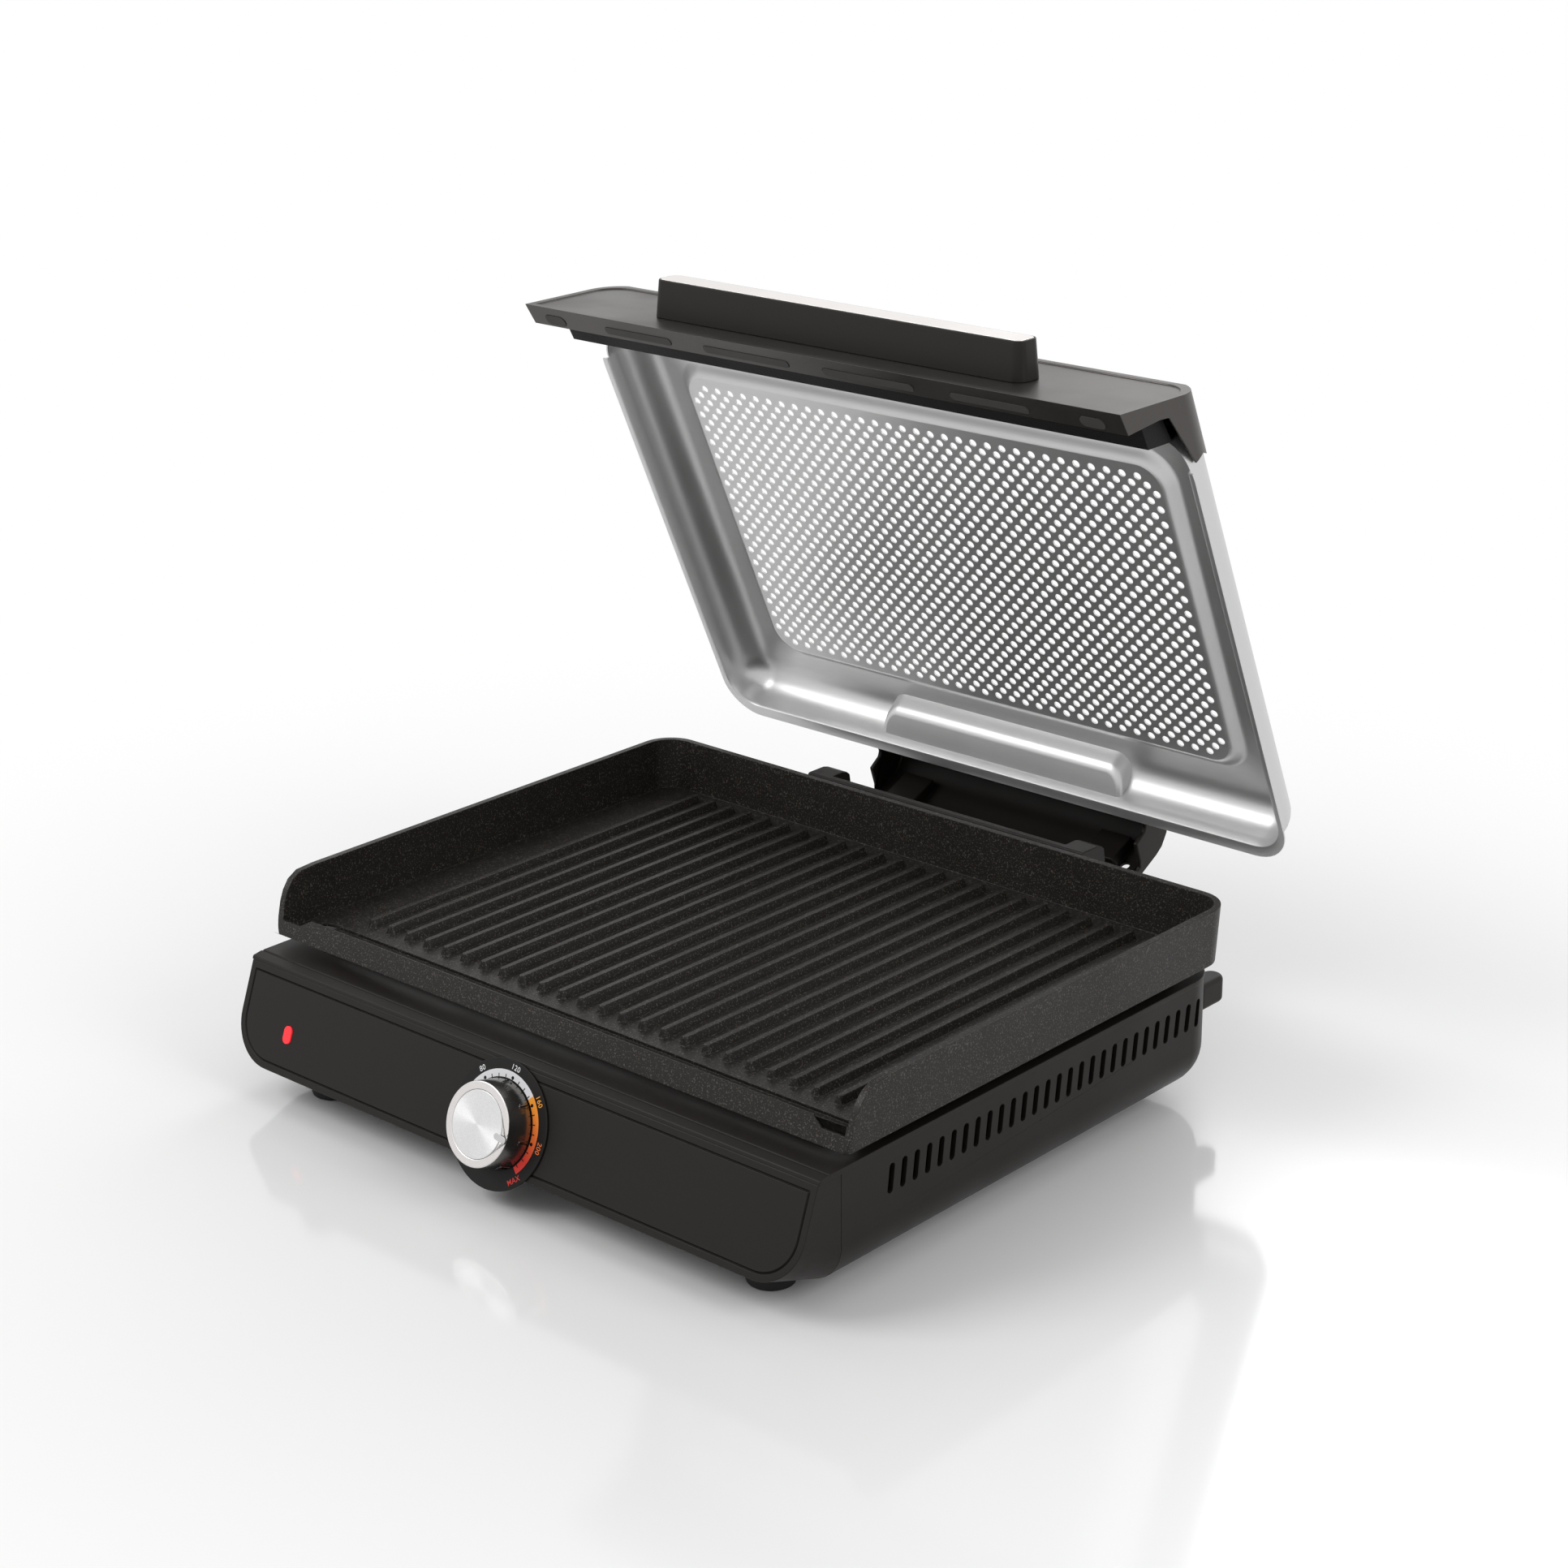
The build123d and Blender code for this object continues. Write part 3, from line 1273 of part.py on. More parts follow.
# ---------------------------------------------------------------- handle
with BuildPart() as lid_handle:
    with BuildSketch(cap_face.offset(-panel_depth)):
        with Locations((0, handle_up)):
            RectangleRounded(2 * handle_x, handle_w, handle_corner - 1)
    extrude(amount=handle_out + panel_depth, taper=handle_draft)
    with BuildSketch(cap_face.offset(-panel_depth)):
        with Locations((0, handle_up)):
            RectangleRounded(2 * (handle_x - handle_wall), handle_w - 2 * handle_wall, handle_corner - handle_wall)
        with Locations(handle_spots):
            Circle(screw_r + 2.2, mode=Mode.SUBTRACT)
    extrude(amount=handle_out + panel_depth - handle_wall, taper=handle_draft, mode=Mode.SUBTRACT)
    handle_shrink = (handle_out + panel_depth) * math.tan(math.radians(handle_draft))
    trim_long = 2 * (handle_x - handle_shrink - trim_border)
    trim_w = handle_w - 2 * handle_shrink - 2 * trim_border
    with BuildSketch(cap_face.offset(handle_out - trim_t)):
        with Locations((0, handle_up)):
            RectangleRounded(trim_long, trim_w, 4)
    extrude(amount=trim_t, mode=Mode.SUBTRACT)
    with BuildSketch(cap_face.offset(-panel_depth)):
        with Locations(handle_spots):
            Circle(screw_r + running)
    extrude(amount=10, mode=Mode.SUBTRACT)

with BuildPart() as handle_trim:
    with BuildSketch(cap_face.offset(handle_out - trim_t)):
        with Locations((0, handle_up)):
            RectangleRounded(trim_long, trim_w, 4)
    extrude(amount=trim_t + 0.2)

with BuildPart() as handle_screws:
    with BuildSketch(cap_face.offset(-cap_wall - screw_head_h)):
        with Locations(handle_spots):
            Circle(screw_head_r)
    extrude(amount=screw_head_h)
    with BuildSketch(cap_face.offset(-cap_wall)):
        with Locations(handle_spots):
            Circle(screw_r)
    extrude(amount=cap_wall - panel_depth + 9)

# ---------------------------------------------------------------- hinge bracket
# Black shell round the rear pocket; its two arms reach down to the pins.
hub_back = hinge_y - lid_rear
hub_up = hinge_z - lid_z
bracket_profile = [
    (-flange_rear - 8, sheet),
    (-0.4, sheet),
    (-0.4, 9.3),
    (12.8, 9.3),
    (15.2, 7.2),
    (17.2, -2.0),
    (20.9, -2.4),
    (29.6, -3.1),
    (33.4, -4.6),
    (35.0, -11.0),
    (38.0, -11.0),
    (38.4, -3.8),
    (37.1, 11.5),
    (35.6, 17.9),
    (30.5, 25.1),
    (24.0, cap_crest),
    (-30.0, cap_crest),
    (-30.0, cap_crest - 6),
]
front_skin = sheet - flange_rear + bracket_wall
bracket_cavity = [
    (front_skin, 21.0),
    (2.0, 25.3),
    (24.0, 25.3),
    (28.5, 23.0),
    (32.7, 16.8),
    (34.1, 11.0),
    (35.2, -1.0),
    (35.2, -14.0),
    (front_skin, -14.0),
]
arm_profile = [
    (22.0, hub_up),
    (32.5, -8.0),
    (27.0, -10.0),
    (27.5, 12.0),
    (34.5, 12.0),
    (37.0, -3.5),
    (38.0, -12.0),
    (38.5, hub_up),
]
sight_hole_r = 2.8           # drain hole beside each arm
sight_hole_x = arm_out + 3.5
sight_hole_up = -4.0
stud_r = 1.6
nut_r = 3.5
nut_t = 2.8
stud_points = [(x, lid_z + 4.6) for x in (-50.0, -20.0, 20.0, 50.0)]
stud_face = lid_face.offset(-(pan_rear + sheet))
with BuildPart() as hinge_bracket:
    with BuildSketch(lid_side):
        with BuildLine():
            Polyline(*lid_points(bracket_profile, lid_rear, lid_z), close=True)
        make_face()
    extrude(amount=bracket_x, both=True)
    with BuildSketch(lid_side):
        with BuildLine():
            Polyline(*lid_points(bracket_cavity, lid_rear, lid_z), close=True)
        make_face()
    extrude(amount=bracket_x - bracket_wall, both=True, mode=Mode.SUBTRACT)
    for sx in (-1, 1):
        with BuildSketch(lid_side.offset(sx * (arm_in + arm_out) / 2)):
            with BuildLine():
                Polyline(*lid_points(arm_profile, lid_rear, lid_z), close=True)
            make_face()
            with Locations((hinge_y, hinge_z)):
                Circle(hub_r)
        extrude(amount=(arm_out - arm_in) / 2, both=True)
    with BuildSketch(lid_side):
        with Locations((hinge_y, hinge_z)):
            Circle(pin_r + running)
    extrude(amount=bracket_x, both=True, mode=Mode.SUBTRACT)
    with BuildSketch(lid_face.offset(-(lid_rear + 34))):
        with Locations((-sight_hole_x, lid_z + sight_hole_up), (sight_hole_x, lid_z + sight_hole_up)):
            Circle(sight_hole_r)
    extrude(amount=-6, mode=Mode.SUBTRACT)
    with BuildSketch(stud_face):
        with Locations(stud_points):
            Circle(stud_r + running)
    extrude(amount=-bracket_wall, mode=Mode.SUBTRACT)
    add(pan_outside.part, mode=Mode.SUBTRACT)

with BuildPart() as bracket_studs:
    with BuildSketch(stud_face):
        with Locations(stud_points):
            Circle(stud_r)
    extrude(amount=-(bracket_wall + nut_t + 1))

with BuildPart() as bracket_nuts:
    with BuildSketch(stud_face.offset(-bracket_wall)):
        with Locations(stud_points):
            RegularPolygon(nut_r, 6)
            Circle(stud_r + running, mode=Mode.SUBTRACT)
    extrude(amount=-nut_t)

pieces = {
    "side_wrap": side_wrap.part,
    "rear_panel": rear_panel.part,
    "front_fascia": front_fascia.part,
    "top_cover": top_cover.part,
    "bottom_cover": bottom_cover.part,
    "feet": feet.part,
    "foot_screws": foot_screws,
    "cover_screws": cover_screws,
    "deck_screws": deck_screws,
    "reflector_tray": reflector_tray.part,
    "grill_plate": grill_plate.part,
    "heating_element": heating_element.part,
    "element_terminals": element_terminals.part,
    "terminal_block": terminal_block.part,
    "element_saddles": element_saddles.part,
    "thermostat_bracket": thermostat_bracket.part,
    "thermostat_screws": thermostat_screws.part,
    "thermostat_body": thermostat_body.part,
    "thermostat_shaft": thermostat_shaft.part,
    "thermostat_sensor": thermostat_sensor.part,
    "sensor_saddles": sensor_saddles.part,
    "thermal_fuse": thermal_fuse.part,
    "indicator_lens": indicator_lens.part,
    "lamp_holder": lamp_holder.part,
    "indicator_lamp": indicator_lamp.part,
    "cord_gland": cord_gland.part,
    "mains_lead": mains_lead.part,
    "lamp_leads": lamp_leads.part,
    "element_leads": element_leads.part,
    "dial_plate": dial_plate.part,
    "control_knob": control_knob.part,
    "knob_cap": knob_cap.part,
    "knob_pointer": knob_pointer.part,
    "hinge_housing": hinge_housing.part,
    "housing_screws": housing_screws.part,
    "hinge_pins": hinge_pins.part,
    "friction_washers": friction_washers.part,
    "rear_bumpers": rear_bumpers.part,
    "lid_pan": lid_pan.part,
    "lid_screen": lid_screen.part,
    "lid_cap": lid_cap.part,
    "cap_pads": cap_pads.part,
    "cap_liner": cap_liner.part,
    "cap_screws": cap_screws.part,
    "lid_handle": lid_handle.part,
    "handle_trim": handle_trim.part,
    "handle_screws": handle_screws.part,
    "hinge_bracket": hinge_bracket.part,
    "bracket_studs": bracket_studs.part,
    "bracket_nuts": bracket_nuts.part,
}
for name, piece in pieces.items():
    piece.label = name
    export_step(piece, f"parts/{name}.step")
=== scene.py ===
import json
import math

import bmesh
import bpy
from mathutils import Matrix, Vector

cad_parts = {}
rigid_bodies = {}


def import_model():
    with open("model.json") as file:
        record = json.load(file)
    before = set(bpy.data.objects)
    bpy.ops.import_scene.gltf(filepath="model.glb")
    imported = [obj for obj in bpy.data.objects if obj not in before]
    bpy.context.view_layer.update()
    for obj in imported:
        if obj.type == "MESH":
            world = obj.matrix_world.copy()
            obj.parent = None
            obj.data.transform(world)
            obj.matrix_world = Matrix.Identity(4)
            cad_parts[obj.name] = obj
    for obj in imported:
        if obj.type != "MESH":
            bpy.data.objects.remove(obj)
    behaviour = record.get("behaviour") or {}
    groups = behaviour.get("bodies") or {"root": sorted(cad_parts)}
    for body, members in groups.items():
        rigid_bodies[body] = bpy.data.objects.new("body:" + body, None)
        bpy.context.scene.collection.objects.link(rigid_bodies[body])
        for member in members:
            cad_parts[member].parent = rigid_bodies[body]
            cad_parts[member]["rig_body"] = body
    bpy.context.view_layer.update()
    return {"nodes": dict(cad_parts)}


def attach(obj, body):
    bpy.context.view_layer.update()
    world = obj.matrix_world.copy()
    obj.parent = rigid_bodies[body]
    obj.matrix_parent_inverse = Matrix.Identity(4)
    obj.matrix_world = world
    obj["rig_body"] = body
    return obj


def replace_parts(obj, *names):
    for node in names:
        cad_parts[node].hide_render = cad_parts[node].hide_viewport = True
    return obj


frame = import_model()
mm = 0.001

# ---------------------------------------------------------------- housing
# Side walls, rear panel, sloped fascia and deck are moulded in black plastic with a fine grain.
# They close round the works, long screws hold them from below, and each outer edge is slightly broken.
housing_black = (0.0110, 0.0088, 0.0074)
housing_gloss = 0.42
housing_shine = 0.2
housing_grain = 900
housing_edge = 0.5


cloud_scale = 22
cloud_low, cloud_high = 0.3, 0.7
relief_strength = 0.6


def finish(name, colour, roughness, grain, depth, metallic=0.0, stretch=(1, 1, 1), tone=0.15, spread=0.05,
           shine=0.5):
    """A finish whose tone and surface vary with a fine grain, and its gloss with a coarse cloud."""
    made = bpy.data.materials.new(name)
    made.use_nodes = True
    nodes, links = made.node_tree.nodes, made.node_tree.links
    shader = nodes["Principled BSDF"]
    shader.inputs["Metallic"].default_value = metallic
    shader.inputs["Specular IOR Level"].default_value = shine
    where = nodes.new("ShaderNodeTexCoord")
    stretched = nodes.new("ShaderNodeMapping")
    stretched.inputs["Scale"].default_value = stretch
    links.new(where.outputs["Object"], stretched.inputs["Vector"])
    fine = nodes.new("ShaderNodeTexNoise")
    fine.inputs["Scale"].default_value = grain
    fine.inputs["Detail"].default_value = 3
    links.new(stretched.outputs["Vector"], fine.inputs["Vector"])
    tint = nodes.new("ShaderNodeMix")
    tint.data_type = "RGBA"
    tint.inputs[6].default_value = [c * (1 - tone) for c in colour] + [1]
    tint.inputs[7].default_value = [c * (1 + tone) for c in colour] + [1]
    links.new(fine.outputs["Fac"], tint.inputs["Factor"])
    links.new(tint.outputs[2], shader.inputs["Base Color"])
    cloud = nodes.new("ShaderNodeTexNoise")
    cloud.inputs["Scale"].default_value = cloud_scale
    links.new(where.outputs["Object"], cloud.inputs["Vector"])
    gloss = nodes.new("ShaderNodeMapRange")
    gloss.inputs["From Min"].default_value = cloud_low
    gloss.inputs["From Max"].default_value = cloud_high
    gloss.inputs["To Min"].default_value = roughness - spread
    gloss.inputs["To Max"].default_value = roughness + spread
    links.new(cloud.outputs["Fac"], gloss.inputs["Value"])
    links.new(gloss.outputs["Result"], shader.inputs["Roughness"])
    relief = nodes.new("ShaderNodeBump")
    relief.inputs["Strength"].default_value = relief_strength
    relief.inputs["Distance"].default_value = depth * mm
    links.new(fine.outputs["Fac"], relief.inputs["Height"])
    links.new(relief.outputs["Normal"], shader.inputs["Normal"])
    return made


def dress(material, *names):
    """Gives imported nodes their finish."""
    for name in names:
        slots = frame["nodes"][name].data.materials
        for i in range(len(slots)):
            slots[i] = material


def show(mesh, name, body):
    """Puts a finished mesh in the scene on its body."""
    piece = bpy.data.objects.new(name, mesh)
    bpy.context.scene.collection.objects.link(piece)
    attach(piece, body)
    return piece


weld_distance = 2e-6
flat_angle = 0.5


def rounded(node, name, material, width, segments=3, angle=30):
    """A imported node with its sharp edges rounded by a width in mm, which stands for the node."""
    source = frame["nodes"][node]
    work = bmesh.new()
    work.from_mesh(source.data)
    bmesh.ops.remove_doubles(work, verts=work.verts, dist=weld_distance)
    bmesh.ops.dissolve_limit(work, angle_limit=math.radians(flat_angle), verts=work.verts, edges=work.edges)
    mesh = bpy.data.meshes.new(name)
    work.to_mesh(mesh)
    work.free()
    stale = mesh.attributes.get("custom_normal")
    if stale:
        mesh.attributes.remove(stale)
    mesh.materials.clear()
    mesh.materials.append(material)
    mesh.polygons.foreach_set("use_smooth", [True] * len(mesh.polygons))
    mesh.set_sharp_from_angle(angle=math.radians(angle))
    piece = show(mesh, name, source["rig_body"])
    edge = piece.modifiers.new("edge", "BEVEL")
    edge.limit_method = "ANGLE"
    edge.angle_limit = math.radians(angle)
    edge.width = width * mm
    edge.segments = segments
    edge.use_clamp_overlap = False
    edge.harden_normals = False
    evened = piece.modifiers.new("evened", "WEIGHTED_NORMAL")
    evened.keep_sharp = False
    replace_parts(piece, node)
    return piece


housing_plastic = finish("housing_plastic", housing_black, roughness=housing_gloss, grain=housing_grain,
                         depth=0.05, shine=housing_shine)
dress(housing_plastic, "side_wrap", "rear_panel", "front_fascia", "top_cover", "lamp_holder")
rounded("side_wrap", "side_moulding", housing_plastic, width=0.2)
rounded("rear_panel", "rear_moulding", housing_plastic, housing_edge)
rounded("front_fascia", "fascia_moulding", housing_plastic, housing_edge)
rounded("top_cover", "deck_moulding", housing_plastic, housing_edge)

# ---------------------------------------------------------------- underside
# A painted steel cover closes the floor, and four round rubber feet carry the grill. Pan-head
# steel screws hold the cover, the feet and the deck.
cover_grey = (0.06, 0.06, 0.06)
rubber_black = (0.014, 0.014, 0.014)
screw_steel = (0.52, 0.51, 0.50)
cover_paint = finish("cover_paint", cover_grey, roughness=0.5, grain=1200, depth=0.03)
foot_rubber = finish("foot_rubber", rubber_black, roughness=0.72, grain=700, depth=0.08, shine=0.3)
plated_steel = finish("plated_steel", screw_steel, roughness=0.34, grain=1500, depth=0.01, metallic=1.0)
dress(cover_paint, "bottom_cover")
dress(foot_rubber, "feet", "cord_gland")
dress(plated_steel, "foot_screws", "cover_screws", "deck_screws", "housing_screws", "cap_screws",
      "handle_screws", "thermostat_screws", "bracket_studs", "bracket_nuts")
rounded("feet", "rubber_feet", foot_rubber, width=0.8)

# ---------------------------------------------------------------- cooking plate
# Die-cast aluminium with ribs, a channel in front and raised walls. It is sprayed with a
# charcoal non-stick coating in which pale flecks lie.
coat_dark = (0.0110, 0.0095, 0.0083)
coat_fleck = (0.085, 0.072, 0.062)
coat_shine = 0.25
coat_grain = 1500
fleck_grain = 1100
fleck_start, fleck_full = 0.56, 0.68
coat_gloss = 0.42


def flecked(name, dark, fleck, roughness):
    """A sprayed coating with pale flecks and a fine orange-peel surface."""
    made = finish(name, dark, roughness, coat_grain, depth=0.09, shine=coat_shine)
    nodes, links = made.node_tree.nodes, made.node_tree.links
    shader = nodes["Principled BSDF"]
    where = nodes["Texture Coordinate"]
    spots = nodes.new("ShaderNodeTexNoise")
    spots.inputs["Scale"].default_value = fleck_grain
    spots.inputs["Detail"].default_value = 2
    links.new(where.outputs["Object"], spots.inputs["Vector"])
    pick = nodes.new("ShaderNodeValToRGB")
    pick.color_ramp.elements[0].position = fleck_start
    pick.color_ramp.elements[1].position = fleck_full
    links.new(spots.outputs["Fac"], pick.inputs["Fac"])
    blend = nodes.new("ShaderNodeMix")
    blend.data_type = "RGBA"
    links.new(pick.outputs["Color"], blend.inputs["Factor"])
    links.new(nodes["Mix"].outputs[2], blend.inputs[6])
    blend.inputs[7].default_value = [*fleck, 1]
    links.new(blend.outputs[2], shader.inputs["Base Color"])
    return made


plate_coating = flecked("plate_coating", coat_dark, coat_fleck, coat_gloss)
dress(plate_coating, "grill_plate")
rounded("grill_plate", "cast_plate", plate_coating, width=0.3)

# ---------------------------------------------------------------- heater and tray
# A tubular heater bends six times through a bright pressed tray, where small saddles hold it.
# Its cold ends enter a ceramic block below.
tray_bright = (0.60, 0.60, 0.59)
sheath_grey = (0.16, 0.15, 0.14)
ceramic_white = (0.72, 0.70, 0.64)
tray_aluminium = finish("tray_aluminium", tray_bright, roughness=0.3, grain=900, depth=0.02, metallic=1.0,
                        stretch=(0.05, 1, 1))
heater_sheath = finish("heater_sheath", sheath_grey, roughness=0.45, grain=1500, depth=0.03, metallic=1.0)
ceramic = finish("ceramic", ceramic_white, roughness=0.6, grain=800, depth=0.03, tone=0.05)
dress(tray_aluminium, "reflector_tray", "element_saddles", "sensor_saddles", "element_terminals")
dress(heater_sheath, "heating_element")
dress(ceramic, "terminal_block", "thermal_fuse")

# ---------------------------------------------------------------- thermostat and wiring
# The thermostat hangs on a steel bracket behind the fascia, and its copper bulb lies in the tray.
# Silicone leads run to the heater and the pilot lamp, and a rubber lead to the gland.
copper_tone = (0.62, 0.36, 0.24)
phenolic_cream = (0.62, 0.58, 0.50)
silicone_white = (0.66, 0.64, 0.60)
lead_black = (0.02, 0.02, 0.02)
copper = finish("copper", copper_tone, roughness=0.3, grain=1500, depth=0.01, metallic=1.0)
phenolic = finish("phenolic", phenolic_cream, roughness=0.5, grain=900, depth=0.03, tone=0.06)
silicone = finish("silicone", silicone_white, roughness=0.55, grain=900, depth=0.04, tone=0.05)
lead_rubber = finish("lead_rubber", lead_black, roughness=0.6, grain=900, depth=0.05)
dress(plated_steel, "thermostat_bracket", "thermostat_shaft", "hinge_pins")
dress(phenolic, "thermostat_body")
dress(copper, "thermostat_sensor")
dress(silicone, "lamp_leads", "element_leads")
dress(lead_rubber, "mains_lead")

# ---------------------------------------------------------------- pilot light
# A red lens snaps into the fascia over a small neon lamp, which is lit in the photograph.
lens_red = (0.80, 0.012, 0.020)
lens_glow = (1.0, 0.02, 0.03)
glow_strength = 0.55
neon_amber = (0.85, 0.55, 0.42)
lit_lens = finish("lit_lens", lens_red, roughness=0.18, grain=1200, depth=0.01, tone=0.08)
shader = lit_lens.node_tree.nodes["Principled BSDF"]
shader.inputs["Emission Color"].default_value = [*lens_glow, 1]
shader.inputs["Emission Strength"].default_value = glow_strength
lamp_glass = finish("lamp_glass", neon_amber, roughness=0.1, grain=900, depth=0.01, tone=0.05)
dress(lit_lens, "indicator_lens")
dress(lamp_glass, "indicator_lamp")

# ---------------------------------------------------------------- dial
# A thin black disc under the knob. The printed scale is white, then amber to red, with notches
# along its inner edge, plain numbers round it and the words for off and for the highest setting.
dial_centre = Vector((0, -209.95, 42.53)) * mm
dial_out = Vector((0, -0.93849, 0.34530))
dial_up = Vector((0, 0.34530, 0.93849))
dial_top = 1.2
print_lift = 0.04
band_inner = 24.6
band_outer = 28.6
band_start = -85.0
band_end = 136.5
number_radius = 31.0
number_size = 4.1
number_weight = 0.035
number_spacing = 1.08
lowest_number, number_step = 80, 40
max_at, off_at = 142.0, -126.0
number_pitch = 45.0
first_number = -38.0
dial_black = (0.008, 0.007, 0.0065)
ink_white = (0.80, 0.80, 0.82)
ink_amber = (0.95, 0.36, 0.02)
ink_orange = (0.93, 0.18, 0.03)
ink_red = (0.85, 0.04, 0.025)


def on_dial(lift):
    """From a flat drawing in mm, Y up the slope, to the face of the dial."""
    side = dial_up.cross(dial_out)
    axes = Matrix((side, dial_up, dial_out)).transposed().to_4x4()
    return Matrix.Translation(dial_centre + dial_out * lift * mm) @ axes @ Matrix.Scale(mm, 4)


def clockwise(degrees):
    return Matrix.Rotation(math.radians(-degrees), 4, "Z")


dial_plastic = finish("dial_plastic", dial_black, roughness=0.5, grain=1200, depth=0.03, shine=housing_shine)
dress(dial_plastic, "dial_plate")
rounded("dial_plate", "dial_disc", dial_plastic, width=0.25, segments=2)

scale_ink = finish("scale_ink", ink_white, roughness=0.5, grain=1500, depth=0.01, tone=0.03)
ramp = scale_ink.node_tree.nodes.new("ShaderNodeValToRGB")
along = scale_ink.node_tree.nodes.new("ShaderNodeUVMap")
parted = scale_ink.node_tree.nodes.new("ShaderNodeSeparateXYZ")
links = scale_ink.node_tree.links
links.new(along.outputs["UV"], parted.inputs["Vector"])
links.new(parted.outputs["X"], ramp.inputs["Fac"])
links.new(ramp.outputs["Color"], scale_ink.node_tree.nodes["Principled BSDF"].inputs["Base Color"])
stops = [(43.0, ink_white), (43.4, ink_amber), (90.0, ink_orange), (118.0, ink_red)]
ramp.color_ramp.elements[0].color = [*ink_white, 1]
for degrees, ink in stops:
    stop = ramp.color_ramp.elements.new((degrees - band_start) / (band_end - band_start))
    stop.color = [*ink, 1]
ramp.color_ramp.elements[-1].color = [*ink_red, 1]

work = bmesh.new()
band_steps = 110
edge_ends = [work.verts.new((0, r, 0)) for r in (band_inner, band_outer)]
first_edge = work.edges.new(edge_ends)
bmesh.ops.transform(work, matrix=clockwise(band_start), verts=work.verts)
bmesh.ops.spin(work, geom=[first_edge, *edge_ends], cent=(0, 0, 0), axis=(0, 0, -1),
               angle=math.radians(band_end - band_start), steps=band_steps)
share = work.loops.layers.uv.new("UVMap")
for face in work.faces:
    for corner in face.loops:
        turned = math.degrees(math.atan2(corner.vert.co.x, corner.vert.co.y))
        turned += 360 if turned < band_start - 1 else 0
        corner[share].uv = ((turned - band_start) / (band_end - band_start), 0.5)
bmesh.ops.reverse_faces(work, faces=[f for f in work.faces if f.normal.z < 0])
work.transform(on_dial(dial_top + print_lift))
band = bpy.data.meshes.new("scale_band")
work.to_mesh(band)
work.free()
band.materials.append(scale_ink)
show(band, "scale_band", "base")

notch_ink = finish("notch_ink", dial_black, roughness=0.5, grain=1200, depth=0.01, shine=housing_shine)
notch_w = 0.55
notch_out = 1.7
notch_back = 0.3
dot_r = 0.95
dot_gap = 0.2
notches_per_number = 4
work = bmesh.new()
notch_pitch = number_pitch / notches_per_number
notch_count = int((band_end - first_number) / notch_pitch) + 1
for i in range(-1, notch_count):
    turn = clockwise(first_number + i * notch_pitch)
    notch_place = Matrix.Translation((0, band_inner + notch_out / 2 - notch_back, 0))
    notch_size = Matrix.Diagonal((notch_w, notch_out + 2 * notch_back, 1, 1))
    bmesh.ops.create_grid(work, x_segments=1, y_segments=1, size=0.5, matrix=turn @ notch_place @ notch_size)
    if i % notches_per_number == 0:
        bmesh.ops.create_circle(work, cap_ends=True, segments=20, radius=dot_r,
                                matrix=turn @ Matrix.Translation((0, band_inner + dot_r + dot_gap, 0)))
work.transform(on_dial(dial_top + 2 * print_lift))
notches = bpy.data.meshes.new("scale_notches")
work.to_mesh(notches)
work.free()
notches.materials.append(notch_ink)
show(notches, "scale_notches", "base")


def lettered(name, words, degrees, ink, flipped=False):
    """Printed characters round the dial, as thin as paint."""
    drawn = bpy.data.curves.new(name, "FONT")
    drawn.body = words
    drawn.size = number_size
    drawn.align_x = "CENTER"
    drawn.align_y = "CENTER"
    drawn.space_character = number_spacing
    drawn.offset = number_weight
    flat = bpy.data.objects.new(name + "_drawn", drawn)
    bpy.context.scene.collection.objects.link(flat)
    bpy.context.view_layer.update()
    mesh = bpy.data.meshes.new_from_object(flat.evaluated_get(bpy.context.evaluated_depsgraph_get()))
    bpy.data.objects.remove(flat)
    mesh.name = name
    turned = clockwise(180) if flipped else Matrix.Identity(4)
    mesh.transform(on_dial(dial_top + print_lift) @ clockwise(degrees)
                   @ Matrix.Translation((0, number_radius, 0)) @ turned)
    mesh.materials.clear()
    mesh.materials.append(ink)
    return show(mesh, name, "base")


white_ink, amber_ink, orange_ink, red_ink = (
    finish(name, tone, roughness=0.5, grain=1500, depth=0.01, tone=0.03)
    for name, tone in (("white_ink", ink_white), ("amber_ink", ink_amber), ("orange_ink", ink_orange),
                       ("red_ink", ink_red)))
for i, ink in enumerate([white_ink, white_ink, amber_ink, orange_ink]):
    reading = lowest_number + i * number_step
    lettered("number_%d" % reading, str(reading), first_number + i * number_pitch, ink)
lettered("word_max", "MAX", max_at, red_ink, flipped=True)
lettered("word_off", "OFF", off_at, white_ink, flipped=True)

# ---------------------------------------------------------------- knob
# A turned metal knob with eight low ribs, dark on its side and satin on its front ring. A spun
# aluminium disc is set in its face, and a pale pointer crosses the disc's edge.
knob_side = (0.20, 0.195, 0.185)
knob_ring = (0.68, 0.655, 0.645)
disc_silver = (0.74, 0.74, 0.74)
pointer_pale = (0.62, 0.61, 0.61)
knob_top = 16.7
disc_r = 17.8
disc_eye = 0.4
disc_lift = 0.1
disc_edge = 0.35
disc_steps = 96
streak_turns = 4
disc_spread = 20
dark_chrome = finish("dark_chrome", knob_side, roughness=0.2, grain=1200, depth=0.01, metallic=1.0)
satin_ring = finish("satin_ring", knob_ring, roughness=0.33, grain=1800, depth=0.01, metallic=1.0)
knob_shell = rounded("control_knob", "knob_shell", dark_chrome, width=0.6)
knob_shell.data.materials.append(satin_ring)
for face in knob_shell.data.polygons:
    high = (face.center - dial_centre).dot(dial_out) > (knob_top - 0.1) * mm
    face.material_index = 1 if high and face.normal.dot(dial_out) > 0.9 else 0
dress(dark_chrome, "control_knob")

